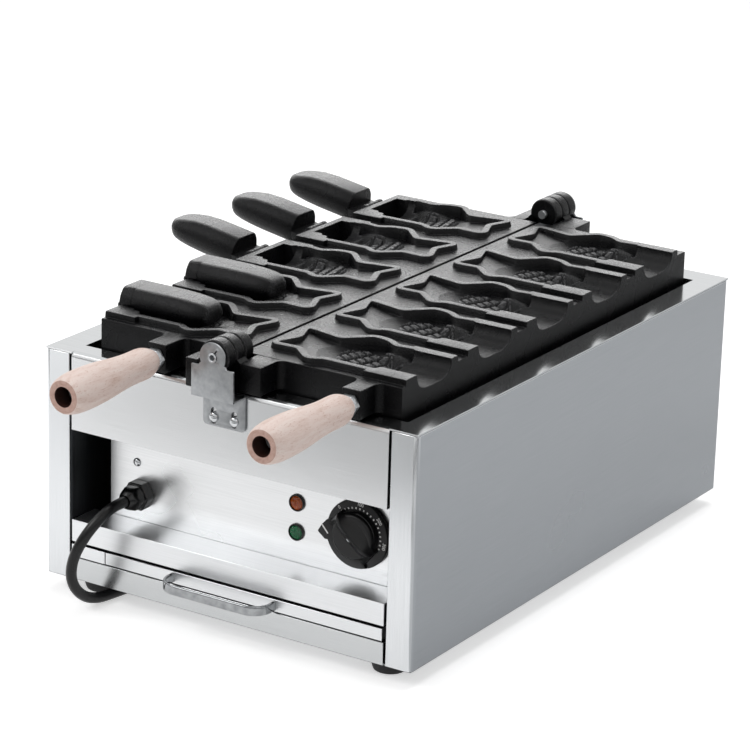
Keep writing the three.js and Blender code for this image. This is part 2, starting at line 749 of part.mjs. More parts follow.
function makeDrawer() {
  const drawerRight = apronHalf - drawerSideGap;
  const trayBack = front + drawerLength;
  const outer = box(-drawerLeft, drawerRight, front, trayBack, drawerBottom, drawerTop);
  const inside = box(-drawerLeft + sheet, drawerRight - sheet, front + sheet * 2, trayBack - sheet,
    drawerBottom + sheet, drawerTop + overrun);
  piece('crumb_drawer', cut(outer, inside), steelLook, drawer);

  const half = pullLength / 2;
  const outlineAt = (inset) => [
    ...arc(-half + pullBend, front - pullReach + pullBend, pullBend - inset, 180, 270, 4),
    ...arc(half - pullBend, front - pullReach + pullBend, pullBend - inset, 270, 360, 4),
  ];
  const pullBack = front - fit;
  const outline = [
    [-half, pullBack],
    ...outlineAt(0),
    [half, pullBack],
    [half - pullThick, pullBack],
    ...outlineAt(pullThick).reverse(),
    [-half + pullThick, pullBack],
  ];
  const pullZ = (drawerBottom + drawerTop) / 2;
  const pull = prismZ(outline, pullZ - pullHeight / 2, pullZ + pullHeight / 2);
  piece('drawer_handle', pull, chromeLook, drawer);

  const runnerZ = drawerBottom - fit;
  const wallFace = right - sheet - fit;
  [-1, 1].forEach((side) => {
    const wall = side * wallFace;
    const trayEdge = side > 0 ? drawerRight : -drawerLeft;
    const inner = trayEdge - side * runnerLip;
    const runnerFront = front + railReturn + fit;
    const span = [Math.min(wall, inner), Math.max(wall, inner)];
    const shelf = box(...span, runnerFront, runnerFront + runnerLength, runnerZ - sheet, runnerZ);
    const webX = [wall, wall - side * sheet];
    const web = box(Math.min(...webX), Math.max(...webX), runnerFront, runnerFront + runnerLength,
      runnerZ - sheet, drawerTop);
    const solids = [shelf, web];
    if (side < 0) {
      const coverRight = -drawerLeft - drawerSideGap / 2;
      const coverBack = runnerFront + hem;
      const sideX = [-apronHalf, -apronHalf + sheet];
      const coverFront = box(-apronHalf, coverRight, front, front + sheet, drawerBottom, drawerTop);
      const coverTop = box(-apronHalf, coverRight, front, coverBack, drawerTop - sheet, drawerTop);
      const coverSide = box(...sideX, front, coverBack, drawerBottom, drawerTop);
      const coverPost = box(...sideX, runnerFront, coverBack, runnerZ - sheet, drawerTop);
      solids.push(coverFront, coverTop, coverSide, coverPost);
    }
    piece(side > 0 ? 'drawer_runner_right' : 'drawer_runner_left', join(...solids), innerSteelLook);
  });
}

// Brackets, pins and screws of the middle hinge, at the front and the back
function makeHinge(end) {
  const sign = end === 'front' ? -1 : 1;
  const along = (a, b) => [Math.min(sign * a, sign * b), Math.max(sign * a, sign * b)];
  const uprightIn = hingeFront - bracketThick / 2;
  const uprightOut = hingeFront + bracketThick / 2;
  const stepTop = deckTop - bracketDrop;
  const stepBottom = stepTop - bracketThick;
  const plateIn = back + fit;
  const shoulder = stepBottom + bracketUpright;
  const earOutline = [
    [-bracketHalf, stepBottom],
    [bracketHalf, stepBottom],
    [bracketHalf, shoulder],
    ...arc(0, hingeZ, bracketEar, -20, 200, 12),
    [-bracketHalf, shoulder],
  ];
  const upright = prismY(earOutline, ...along(uprightIn, uprightOut));
  const step = box(-bracketHalf, bracketHalf, ...along(plateIn, uprightOut), stepBottom, stepTop);
  const footBottom = stepTop - bracketFoot;
  const plateOut = plateIn + bracketThick;
  const foot = box(-bracketHalf, bracketHalf, ...along(plateIn, plateOut), footBottom, stepTop);
  const pinHole = bar([0, sign * (uprightIn - overrun), hingeZ],
    [0, sign * (uprightOut + overrun), hingeZ], hingePinRadius + fit);
  const screwZ = footBottom + screwRise;
  const screwHoles = [-1, 1].map((side) => bar(
    [side * screwSpacing / 2, sign * (plateIn - overrun), screwZ],
    [side * screwSpacing / 2, sign * (plateOut + overrun), screwZ], screwRadius + fit, smallSides));
  const bracket = cut(join(upright, step, foot), pinHole, ...screwHoles);
  piece(`hinge_bracket_${end}`, bracket, steelLook);

  const pinOut = uprightOut + pinProud;
  const pinIn = Math.max(plateFront, plateBack) + fit;
  const pin = bar([0, sign * pinIn, hingeZ], [0, sign * pinOut, hingeZ], hingePinRadius);
  piece(`hinge_pin_${end}`, pin, zincLook);

  const headProfile = [
    [0, 0],
    [screwHeadRadius, 0],
    [screwHeadRadius * screwTopShare, screwHead],
    [0, screwHead],
  ];
  [-1, 1].forEach((side) => {
    const stem = bar([0, 0, fit / 2], [0, 0, -bracketThick - fit * 2], screwRadius, smallSides);
    const solid = join(turned(headProfile, smallSides), stem);
    const screw = piece(`bracket_screw_${end}_${side < 0 ? 'left' : 'right'}`, solid, chromeLook);
    screw.position.set(side * screwSpacing / 2, sign * (plateOut + fit), screwZ);
    screw.rotation.x = sign < 0 ? Math.PI / 2 : -Math.PI / 2;
  });
}

// Fish outlines, as shares of the fish's length from the tail and of its depth across
const fishShares = [
  [0.03, -0.34], [0.26, -0.32], [0.44, -0.57], [0.54, -0.47], [1, -0.48],
  [1, 0.42], [0.81, 0.38], [0.7, 0.5], [0.57, 0.53], [0.385, 0.23], [0.04, 0.34], [0.12, 0.01],
];
const bodyShares = [
  [0.36, -0.1], [0.45, -0.48], [0.54, -0.42], [0.985, -0.42],
  [0.985, 0.36], [0.8, 0.33], [0.69, 0.43], [0.57, 0.46], [0.42, 0.2],
];

// The arm at one end of a mould, with the knuckles that turn on the hinge pin
function hingeArm(side, end) {
  const spanX = (u0, u1) => [Math.min(side * u0, side * u1), Math.max(side * u0, side * u1)];
  const along = (a, b) => [Math.min(end * a, end * b), Math.max(end * a, end * b)];
  const plateEnd = end < 0 ? plateFront : plateBack;
  const lugReach = side < 0 ? leftLugReach : rightLugReach;
  const firstKnuckle = hingeFront - bracketThick / 2 - knuckleGap;
  const slots = side < 0 ? [0, 2] : [1];
  const knucklePitch = knuckleWidth + knuckleGap;
  const lugOuter = side < 0 ? firstKnuckle : firstKnuckle - knucklePitch;
  const lug = box(...spanX(lugInner, lugReach), ...along(plateEnd + fit, lugOuter), lugLow, plateZ);
  const knuckles = slots.map((slot) => {
    const outer = firstKnuckle - slot * knucklePitch;
    const inner = outer - knuckleWidth;
    const ring = bar([0, end * inner, hingeZ], [0, end * outer, hingeZ], knuckleRadius);
    const web = box(...spanX(0, lugInner + overrun), ...along(inner, outer), lugLow, plateZ);
    return join(ring, web);
  });
  const pinBore = bar([0, end * plateEnd, hingeZ],
    [0, end * (hingeFront + overrun), hingeZ], hingePinRadius + fit);
  return cut(join(lug, ...knuckles), pinBore);
}

// One mould, built on the side that its sign gives
function mould(side, reach) {
  const across = (points, mouthY) => points.map(([u, w]) => [side * u, mouthY + w]);
  const fromShares = (shares) => shares.map(([a, b]) => [fishTail + a * fishLength, b * fishDepth]);
  const spanX = (u0, u1) => [Math.min(side * u0, side * u1), Math.max(side * u0, side * u1)];
  const underside = deckTop - plateBottom;
  let solid = box(...spanX(seamGap, reach), -plateFront, plateBack, underside, plateZ);

  const handleX = side < 0 ? leftHandleX : rightHandleX;
  const boss = box(handleX - bossHalf, handleX + bossHalf, -bossFront, -plateFront + overrun,
    lugLow, plateZ);
  const boltBore = bar([handleX, -bossFront - overrun, handleZ],
    [handleX, -bossFront + boltInBoss + fit, handleZ], boltRadius + fit, smallSides);
  solid = cut(join(solid, boss), boltBore);

  const fish = fromShares(fishShares);
  const body = fromShares(bodyShares);
  for (let k = 0; k < fishCount; k += 1) {
    const mouthY = firstMouth + k * fishPitch;
    const ridge = stack([
      { z: plateZ - overrun, points: across(grown(fish, ridgeWidth + ridgeDraft), mouthY) },
      { z: plateZ, points: across(grown(fish, ridgeWidth + ridgeDraft), mouthY) },
      { z: ridgeZ, points: across(grown(fish, ridgeWidth), mouthY) },
    ]);
    const block = box(...spanX(blockStart, reach), mouthY - blockNear, mouthY + blockFar,
      plateZ - overrun, ridgeZ);
    solid = join(solid, ridge, block);
  }
  for (let k = 0; k < fishCount; k += 1) {
    const mouthY = firstMouth + k * fishPitch;
    const tail = stack([
      { z: ridgeZ + overrun, points: across(fish, mouthY) },
      { z: ridgeZ, points: across(fish, mouthY) },
      { z: ridgeZ - tailDepth, points: across(grown(fish, -ridgeDraft), mouthY) },
    ]);
    const belly = stack([
      { z: ridgeZ + overrun, points: across(body, mouthY) },
      { z: ridgeZ - tailDepth, points: across(body, mouthY) },
      { z: ridgeZ - bodyDepth, points: across(grown(body, -bodyTaper), mouthY) },
    ]);
    const channelEnd = side < 0 ? seatEnd + overrun : reach + overrun;
    const channel = prismX([
      [mouthY - channelHalf, ridgeZ + overrun],
      [mouthY - channelHalf, ridgeZ],
      [mouthY - channelShoulder, ridgeZ - channelDepth * channelShoulderShare],
      [mouthY - channelFloorHalf, ridgeZ - channelDepth],
      [mouthY + channelFloorHalf, ridgeZ - channelDepth],
      [mouthY + channelShoulder, ridgeZ - channelDepth * channelShoulderShare],
      [mouthY + channelHalf, ridgeZ],
      [mouthY + channelHalf, ridgeZ + overrun],
    ], ...spanX(channelStart, channelEnd));
    solid = cut(solid, join(tail, belly, channel));
    solid = join(solid, ...scaleBed(side, mouthY));
    if (side < 0) {
      solid = cut(solid, box(...spanX(seatEnd, pocketEnd), mouthY - pocketHalf, mouthY + pocketHalf,
        ridgeZ - pocketDepth, ridgeZ + overrun));
      solid = addPlugLugs(solid, mouthY);
    }
    const hollowY = mouthY + (blockFar - blockNear) / 2;
    const hollowHalf = (fishPitch - hollowRib) / 2;
    const middleU = (seamGap + reach) / 2;
    [[seamGap + hollowWall, middleU - hollowRib / 2], [middleU + hollowRib / 2, reach - hollowWall]]
      .forEach(([u0, u1]) => {
        const y0 = Math.max(hollowY - hollowHalf, -plateFront + hollowWall);
        const y1 = Math.min(hollowY + hollowHalf, plateBack - hollowWall);
        solid = cut(solid, box(...spanX(u0, u1), y0, y1, underside - overrun, underside + hollowDepth));
      });
  }
  return solid;
}

// Raised diamond scales on the floor of a fish
function scaleBed(side, mouthY) {
  const floorZ = ridgeZ - bodyDepth;
  const scales = [];
  for (let row = 0; row < scaleRows; row += 1) {
    for (let column = 0; column < scaleColumns; column += 1) {
      const u = scaleStart + scaleLength / 2 + column * scaleLength + (row % 2) * (scaleLength / 2);
      const w = scaleMiddle + row * scaleWidth;
      const cone = new THREE.ConeGeometry(scaleLength / 2, scaleRise + overrun, 4);
      cone.rotateX(Math.PI / 2);
      cone.scale(1, scaleWidth / scaleLength, 1);
      cone.translate(side * u, mouthY + w, floorZ + (scaleRise - overrun) / 2);
      scales.push(solidOf(cone));
    }
  }
  return scales;
}

// Two small lugs at the left mould's edge that hold a plug's stub pins
function addPlugLugs(solid, mouthY) {
  const lugIn = plugKnuckleHalf + plugLugGap;
  const lugOut = lugIn + plugLugWidth;
  const lugs = [[-lugOut, -lugIn], [lugIn, lugOut]].map(([y0, y1]) => join(
    bar([plugX, mouthY + y0, plugZ], [plugX, mouthY + y1, plugZ], plugKnuckle, smallSides),
    box(plugX, plugX + plugAxisOut + fit, mouthY + y0, mouthY + y1,
      plugZ - plugKnuckle, plugZ + plugKnuckle / 2)));
  const pinBore = bar([plugX, mouthY - lugOut - overrun, plugZ],
    [plugX, mouthY + lugOut + overrun, plugZ], plugPinRadius + fit, smallSides);
  return cut(join(solid, ...lugs), pinBore);
}

// A mouth plug about its hinge axis, folded in: the nose points along +X
function plugSolid() {
  const section = (halfShare, riseShare, fallShare) => {
    const half = plugHalf * halfShare;
    const flat = plugFlat * halfShare;
    const bevel = flat + (half - flat) * plugShoulderShare;
    const fall = plugRise * fallShare;
    const rise = plugRise * riseShare;
    return [
      [-half, plugDrop], [-bevel, plugDrop - fall / 2], [-flat, plugDrop - fall],
      [flat, plugDrop - fall], [bevel, plugDrop - fall / 2], [half, plugDrop],
      [bevel, plugDrop + rise / 2], [flat, plugDrop + rise],
      [-flat, plugDrop + rise], [-bevel, plugDrop + rise / 2],
    ];
  };
  const whole = rowX([
    { x: plugHeel, points: section(1, 1, 1) },
    ...plugShares.map(([along, half, rise, fall]) => (
      { x: plugLength * along, points: section(half, rise, fall) })),
  ]);
  const heel = section(1, 1, 1).slice(5).concat([section(1, 1, 1)[0]]);
  const ledge = plugDrop + plugSeatGap;
  const upper = cut(
    prismX(heel, plugStepStart, plugHeel + fit),
    box(-overrun, plugHeel, -plugHalf - overrun, plugHalf + overrun, -overrun, ledge));
  const knuckle = bar([0, -plugKnuckleHalf, 0], [0, plugKnuckleHalf, 0], plugKnuckle, smallSides);
  const web = box(-plugKnuckle * plugWebShare, plugAxisOut - plugSeatGap,
    -plugKnuckleHalf, plugKnuckleHalf, 0, ledge + fit);
  const pinHalf = plugKnuckleHalf + plugLugGap + plugLugWidth;
  const stubPins = bar([0, -pinHalf, 0], [0, pinHalf, 0], plugPinRadius, smallSides);
  return join(whole, upper, knuckle, web, stubPins);
}

const leftHalf = new THREE.Group();
const rightHalf = new THREE.Group();
machine.add(leftHalf, rightHalf);

function makeHandle(name, x, group) {
  const nutStart = -bossFront - fit;
  const gripStart = nutStart - nutLength - fit;
  const nutCorner = nutAcross / 2 / Math.cos(Math.PI / 6);
  const gripEnd = gripLength - boltHeadDepth;
  const profile = [
    [boltRadius + fit, 0],
    ...gripShares.map(([r, t]) => [r * gripRadius, t * gripLength]),
    [gripBore, gripLength],
    [gripBore, gripEnd],
    [boltRadius + fit, gripEnd],
    [boltRadius + fit, 0],
  ];
  const nut = cut(
    turned([[0, 0], [nutCorner, 0], [nutCorner, nutLength], [0, nutLength]], 6),
    bar([0, 0, -overrun], [0, 0, nutLength + overrun], boltRadius + fit, smallSides));
  const headStart = gripEnd + fit;
  const toBoss = gripStart + bossFront - boltInBoss;
  const bolt = join(
    bar([0, 0, toBoss], [0, 0, headStart + boltHead / 2], boltRadius, smallSides),
    bar([0, 0, headStart], [0, 0, headStart + boltHead], boltHeadRadius, 6));
  const grip = turned(profile);
  [[`handle_nut_${name}`, nut, zincLook, nutStart], [`handle_bolt_${name}`, bolt, zincLook, gripStart],
    [`grip_${name}`, grip, beechLook, gripStart]].forEach(([nodeName, solid, look, y]) => {
    const mesh = piece(nodeName, solid, look, group);
    mesh.position.set(x, y, handleZ);
    mesh.rotation.x = Math.PI / 2;
  });
}

function makeMoulds() {
  piece('left_mould', mould(-1, leftReach), castLook, leftHalf);
  piece('right_mould', mould(1, rightReach), castLook, rightHalf);
  piece('left_arm_front', hingeArm(-1, -1), castLook, leftHalf);
  piece('left_arm_rear', hingeArm(-1, 1), castLook, leftHalf);
  piece('right_arm_front', hingeArm(1, -1), castLook, rightHalf);
  piece('right_arm_rear', hingeArm(1, 1), castLook, rightHalf);
  makeHandle('left', leftHandleX, leftHalf);
  makeHandle('right', rightHandleX, rightHalf);
  const plug = plugSolid();
  for (let k = 0; k < fishCount; k += 1) {
    const mouthY = firstMouth + k * fishPitch;
    const hinge = new THREE.Group();
    hinge.position.set(plugX, mouthY, plugZ);
    leftHalf.add(hinge);
    const mesh = piece(`mouth_plug_${k + 1}`, plug, castLook, hinge);
    const folded = k < plugsFoldedIn ? 0 : plugFoldedOut;
    mesh.rotation.y = -THREE.MathUtils.degToRad(folded);
  }
}

// The cord's free stretch, chosen by hand: out of the gland, down in front of the sill,
// back under the case and out behind it
const cordRoute = [
  [-113.5, -286, 99.4], [-114.3, -296, 97.6], [-117, -306, 91.5], [-122, -313.5, 82], [-128.5, -318, 69],
  [-134.5, -320, 54], [-138, -318.5, 38], [-138.5, -312, 23.5], [-137, -300, 12], [-134.5, -285, 6.3],
  [-131.5, -266, 5.1], [-127.5, -240, 5.1], [-123, -205, 5.1], [-121, -160, 5.1], [-120, -100, 5.1],
  [-119.5, -20, 5.1], [-119, 60, 5.1], [-119, 140, 5.1], [-119.4, 220, 5.1], [-120, 290, 5.1],
  [-120, 330, 5.1],
];

function ringPoints(radius, sides) {
  return arc(0, 0, radius, 0, 360, sides).slice(0, -1).map(([a, b]) => new THREE.Vector2(a, b));
}

function tube(points, radius, sides, steps) {
  const curve = new THREE.CatmullRomCurve3(points.map((p) => new THREE.Vector3(...p)));
  const section = new THREE.Shape(ringPoints(radius, sides));
  return { solid: solidOf(new THREE.ExtrudeGeometry(section, { steps, extrudePath: curve })), curve };
}

// The coil's middle line: in on the floor, up a layer in half a turn, and out on top
function coilLine() {
  const turns = coilLayerTurns + coilClimbTurns + coilTopTurns;
  const inner = coilRadius - coilLayerTurns * coilPitch;
  const line = [];
  for (let k = 0; k <= turns * coilSteps; k += 1) {
    const t = k / coilSteps;
    const climb = THREE.MathUtils.clamp((t - coilLayerTurns) / coilClimbTurns, 0, 1);
    const out = Math.max(0, t - coilLayerTurns - coilClimbTurns);
    const radius = t < coilLayerTurns ? coilRadius - t * coilPitch : inner + out * coilPitch;
    const rise = (1 - Math.cos(climb * Math.PI)) / 2;
    const angle = Math.PI - t * 2 * Math.PI;
    line.push(new THREE.Vector3(
      coilX + radius * Math.cos(angle), coilY + radius * Math.sin(angle),
      cordRadius + rise * coilRise));
  }
  return line;
}

// The least gap of the coil to itself, over points that lie more than a third of a turn apart
function leastGap(line) {
  let least = Infinity;
  for (let a = 0; a < line.length; a += 1) {
    for (let b = a + coilSteps * coilApartShare; b < line.length; b += 1) {
      least = Math.min(least, line[a].distanceTo(line[b]) - 2 * cordRadius);
    }
  }
  return least;
}

// A tube of straight stretches between rings, square to the line at both ends
function ringTube(line, radius, sides) {
  const up = new THREE.Vector3(0, 0, 1);
  const rings = line.map((point, k) => {
    const ahead = line[Math.min(k + 1, line.length - 1)];
    const behind = line[Math.max(k - 1, 0)];
    const along = ahead.clone().sub(behind).normalize();
    const sideways = new THREE.Vector3().crossVectors(along, up).normalize();
    const over = new THREE.Vector3().crossVectors(sideways, along);
    return Array.from({ length: sides }, (_, s) => {
      const angle = (s / sides) * 2 * Math.PI;
      const spot = point.clone().addScaledVector(sideways, radius * Math.cos(angle))
        .addScaledVector(over, radius * Math.sin(angle));
      return spot.toArray();
    });
  });
  return loft(rings, ringPoints(radius, sides));
}

function makeCord() {
  const glandCorner = glandAcross / 2 / Math.cos(Math.PI / 6);
  const glandFoot = glandHex - fit;
  const glandTop = glandHex + glandDome;
  const glandProfile = [
    [0, glandFoot],
    ...glandShares.map(([r, h]) => [glandCorner * r, glandFoot + (glandTop - glandFoot) * h]),
    [glandMouth, glandTop + glandLip],
    [0, glandTop + glandLip],
  ];
  const hex = turned([[0, fit], [glandCorner, fit], [glandCorner, glandHex], [0, glandHex]], 6);
  const stub = bar([0, 0, -sheet - glandStub], [0, 0, glandHex], glandStubRadius, smallSides);
  const gland = piece('cable_gland', join(hex, turned(glandProfile), stub), glossBlackLook);
  facingFront(gland, glandX, glandHeight);

  const mouthY = panelFront - glandTop - glandLip - fit;
  const coil = coilLine();
  const lead = 2 * cordRadius;
  const start = coil[0].clone().add(new THREE.Vector3(0, -lead, 0));
  const last = coil[coil.length - 1];
  const end = last.clone().add(new THREE.Vector3(lead, 0, 0));
  console.log(`least gap of the coil to itself: ${leastGap(coil).toFixed(2)} mm`);
  piece('cord_coil', ringTube([start, ...coil, end], cordRadius, coilSides), rubberLook);

  const mouth = [glandX, mouthY, caseBottom + glandHeight];
  const route = [mouth, ...cordRoute, [start.x, start.y - fit, start.z]];
  const cord = tube(route, cordRadius, cordSides, cordSteps);
  piece('cord', cord.solid, rubberLook);
  const coilLength = coil.slice(1).reduce((sum, point, k) => sum + point.distanceTo(coil[k]), 2 * lead);
  console.log(`cord length: ${(cord.curve.getLength() + coilLength).toFixed(0)} mm`);

  const plugProfile = [
    [0, 0],
    [bootStart, 0],
    [bootEnd, boot],
    ...mainsShares.map(([r, h]) => [mainsBodyRadius * r, boot + mainsBody * h]),
    [0, boot + mainsBody],
  ];
  const pins = [-1, 1].map((side) => bar(
    [side * mainsPinSpacing / 2, 0, boot + mainsBody / 2],
    [side * mainsPinSpacing / 2, 0, boot + mainsBody + mainsPinLength], mainsPinRadius, smallSides));
  const mainsPlug = piece('mains_plug', join(turned(plugProfile), ...pins), glossBlackLook);
  mainsPlug.position.set(end.x + fit, end.y, end.z);
  const [, fullShare] = mainsShares[1];
  const dip = Math.asin((mainsBodyRadius - end.z) / (boot + mainsBody * fullShare));
  mainsPlug.rotation.set(0, Math.PI / 2 - dip, 0);
}

makeCase();
makeRecess();
makeControls();
makeDrawer();
makeHinge('front');
makeHinge('rear');
makeMoulds();
makeCord();

// The origin goes under the middle of the machine's box, without the cord and what is on it
const cordPieces = ['cord', 'cord_coil', 'mains_plug'];
machine.updateMatrixWorld(true);
const bounds = new THREE.Box3();
machine.traverse((object) => {
  if (object.isMesh && !cordPieces.includes(object.name)) bounds.expandByObject(object, true);
});
const middle = bounds.getCenter(new THREE.Vector3());
machine.position.set(-middle.x, -middle.y, -bounds.min.z);
console.log(`moved by ${machine.position.toArray().map((v) => v.toFixed(3)).join(', ')}`);

export default machine;
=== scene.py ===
import json
import math

import bmesh
import bpy
import numpy as np
from mathutils import Matrix, Vector
from mathutils.geometry import delaunay_2d_cdt

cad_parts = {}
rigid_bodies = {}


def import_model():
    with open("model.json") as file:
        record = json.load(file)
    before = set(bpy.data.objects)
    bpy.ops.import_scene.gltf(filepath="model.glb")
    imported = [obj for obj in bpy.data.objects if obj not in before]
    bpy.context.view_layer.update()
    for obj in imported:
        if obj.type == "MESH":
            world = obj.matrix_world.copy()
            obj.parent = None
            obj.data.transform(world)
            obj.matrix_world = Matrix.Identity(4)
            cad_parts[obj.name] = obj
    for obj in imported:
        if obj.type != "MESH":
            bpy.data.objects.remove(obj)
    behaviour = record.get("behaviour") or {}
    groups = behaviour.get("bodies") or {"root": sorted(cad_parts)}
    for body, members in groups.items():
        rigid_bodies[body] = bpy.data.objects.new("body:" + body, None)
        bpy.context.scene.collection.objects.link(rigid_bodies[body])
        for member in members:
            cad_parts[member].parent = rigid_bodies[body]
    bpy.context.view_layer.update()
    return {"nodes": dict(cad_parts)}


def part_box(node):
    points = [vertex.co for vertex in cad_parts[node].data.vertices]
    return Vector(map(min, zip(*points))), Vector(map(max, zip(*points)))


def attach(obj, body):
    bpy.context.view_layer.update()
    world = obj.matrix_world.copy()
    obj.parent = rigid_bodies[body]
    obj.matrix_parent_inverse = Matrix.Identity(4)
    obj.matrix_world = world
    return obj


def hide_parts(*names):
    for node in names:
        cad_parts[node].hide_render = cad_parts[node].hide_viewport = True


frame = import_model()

mm = 0.001
scene = bpy.context.scene
nodes = frame["nodes"]

# The middle of the case on the floor, from which all places below are measured, in mm
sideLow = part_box("side_panel_left")[0]
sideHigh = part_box("side_panel_right")[1]
caseMiddle = Vector(((sideLow.x + sideHigh.x) / 2, (sideLow.y + sideHigh.y) / 2, 0))


def place(x, y, z):
    return caseMiddle + Vector((x, y, z)) * mm


print("camera")
shot = {
    "lens": 161.874, "azimuth": 32.29, "elevation": 18.68, "roll": 1.61, "distance": 3152.25,
    "target": (-26.31, 0, 162.69),
}
azimuth, elevation, roll = (math.radians(shot[k]) for k in ("azimuth", "elevation", "roll"))
lookBack = Vector((math.sin(azimuth) * math.cos(elevation), -math.cos(azimuth) * math.cos(elevation),
                   math.sin(elevation)))
level = (-lookBack).cross(Vector((0, 0, 1))).normalized()
upward = level.cross(-lookBack)
cameraX = level * math.cos(roll) + upward * math.sin(roll)
cameraY = upward * math.cos(roll) - level * math.sin(roll)
turn = Matrix((cameraX, cameraY, lookBack)).transposed().to_4x4()
cameraData = bpy.data.cameras.new("camera")
cameraData.lens = shot["lens"]
cameraData.sensor_width = 36
cameraData.clip_end = 20
camera = bpy.data.objects.new("camera", cameraData)
scene.collection.objects.link(camera)
camera.matrix_world = Matrix.Translation(place(*shot["target"]) + lookBack * shot["distance"] * mm) @ turn
scene.camera = camera

# Helpers for materials


def linear(hexColour):
    values = [int(hexColour[k:k + 2], 16) / 255 for k in (1, 3, 5)]
    return [v / 12.92 if v <= 0.04045 else ((v + 0.055) / 1.055) ** 2.4 for v in values] + [1]


def addNode(tree, kind, settings=None, links=None):
    node = tree.nodes.new(kind)
    for key, value in (settings or {}).items():
        if isinstance(key, str) and hasattr(node, key):
            setattr(node, key, value)
        else:
            node.inputs[key].default_value = value
    for key, source in (links or {}).items():
        tree.links.new(source, node.inputs[key])
    return node


def startMaterial(name, **sockets):
    material = bpy.data.materials.new(name)
    material.use_nodes = True
    tree = material.node_tree
    shader = tree.nodes["Principled BSDF"]
    for socket, value in sockets.items():
        shader.inputs[socket.replace("_", " ")].default_value = value
    coordinates = addNode(tree, "ShaderNodeTexCoord").outputs["Object"]
    return material, tree, shader, coordinates


def noise(tree, coordinates, scale, detail=2.0, roughness=0.5):
    settings = {"Scale": scale, "Detail": detail, "Roughness": roughness}
    return addNode(tree, "ShaderNodeTexNoise", settings, {"Vector": coordinates}).outputs["Fac"]


def stretched(tree, coordinates, scale):
    return addNode(tree, "ShaderNodeMapping", {"Scale": scale}, {"Vector": coordinates}).outputs["Vector"]


def ramp(tree, factor, stops):
    node = addNode(tree, "ShaderNodeValToRGB", links={"Fac": factor})
    elements = node.color_ramp.elements
    elements[0].position, elements[0].color = stops[0][0], linear(stops[0][1])
    elements[1].position, elements[1].color = stops[-1][0], linear(stops[-1][1])
    for position, colour in stops[1:-1]:
        elements.new(position).color = linear(colour)
    return node.outputs["Color"]


def blended(tree, settings, links):
    return addNode(tree, "ShaderNodeMix", {"data_type": "RGBA", **settings}, links).outputs["Result"]


def coloured(tree, shader, colour):
    tree.links.new(colour, shader.inputs["Base Color"])


def roughened(tree, shader, factor, limits):
    low, high = limits
    rough = addNode(tree, "ShaderNodeMapRange", {"To Min": low, "To Max": high}, {"Value": factor})
    tree.links.new(rough.outputs["Result"], shader.inputs["Roughness"])


def bumped(tree, shader, height, strength, distance):
    bump = addNode(tree, "ShaderNodeBump", {"Strength": strength, "Distance": distance}, {"Height": height})
    tree.links.new(bump.outputs["Normal"], shader.inputs["Normal"])


def brushed(name, dark, light, grain, roughness=(0.2, 0.3)):
    # Stainless sheet, brushed: long fine lines that blur what it mirrors across the grain
    material, tree, shader, coordinates = startMaterial("stainless " + name, Metallic=1.0)
    lines = noise(tree, stretched(tree, coordinates, grain), 1.0, 3.0, 0.6)
    coloured(tree, shader, ramp(tree, lines, [(0.3, dark), (0.7, light)]))
    roughened(tree, shader, noise(tree, coordinates, 9.0), roughness)
    bumped(tree, shader, lines, 0.04, 0.0002)
    return material


fine, long = 1 / 0.0006, 1 / 0.06  # brushing lines 0.6 mm apart and 60 mm long, coarse enough to show
lineAcross, lineAlong, lineUp = (long, fine, fine), (fine, long, fine), (fine, fine, long)
stainlessPanel = brushed("panel brushed across", "#d2d3d4", "#dcddde", lineAcross, (0.24, 0.32))
stainlessDeck = brushed("deck brushed across", "#cccecf", "#d6d8d9", lineAcross, (0.1, 0.16))
stainlessApron = brushed("apron brushed across", "#cdcecf", "#d6d7d8", lineAcross)
stainlessRail = brushed("rail brushed across", "#bbbdbe", "#c5c7c8", lineAcross)
stainlessStile = brushed("stile brushed up", "#ccced0", "#d5d7d9", lineUp)
stainlessSill = brushed("sill brushed across", "#d2d4d5", "#dcdddf", lineAcross, (0.28, 0.36))
stainlessAlong = brushed("sheet brushed along", "#b8bbbe", "#c0c2c5", lineAlong, (0.22, 0.3))
stainlessUp = brushed("sheet brushed upright", "#bdbfc1", "#cdcfd0", lineUp)
# Dark stainless that stands in for shade: painted shade on the recess wall and on every sheet's down-facing
# faces
paintedShadeSheet = brushed("sheet darkened as painted shade", "#2c2e30", "#3a3c3e", lineUp, (0.4, 0.5))
innerSheet = brushed("sheet unpolished inside", "#8b8e90", "#9b9d9f", lineAcross, (0.4, 0.6))


def castNonStick():
    # Cast aluminium under a black non-stick coat: sandy relief and a soft sheen; raised edges and scales come
    # out paler, partly rubbed wear and partly a painted highlight
    material, tree, shader, coordinates = startMaterial("cast aluminium with black non-stick coat", IOR=1.24)
    sand = noise(tree, coordinates, 1 / 0.0011, 3.0, 0.6)
    # The pale ramp stands for rubbed metal and for a painted highlight on raised edges
    coated, bare = (ramp(tree, sand, stops) for stops in (
        [(0.4, "#020203"), (0.66, "#0f0f11")], [(0.4, "#343435"), (0.62, "#7c7c7e")]))
    wornAndHighlit = addNode(tree, "ShaderNodeAttribute", {"attribute_name": "wornAndHighlit"}).outputs["Fac"]
    coloured(tree, shader, blended(tree, {}, {"Factor": wornAndHighlit, "A": coated, "B": bare}))
    roughened(tree, shader, noise(tree, coordinates, 30.0, 3.0), (0.2, 0.34))
    bumped(tree, shader, sand, 0.9, 0.0005)
    return material


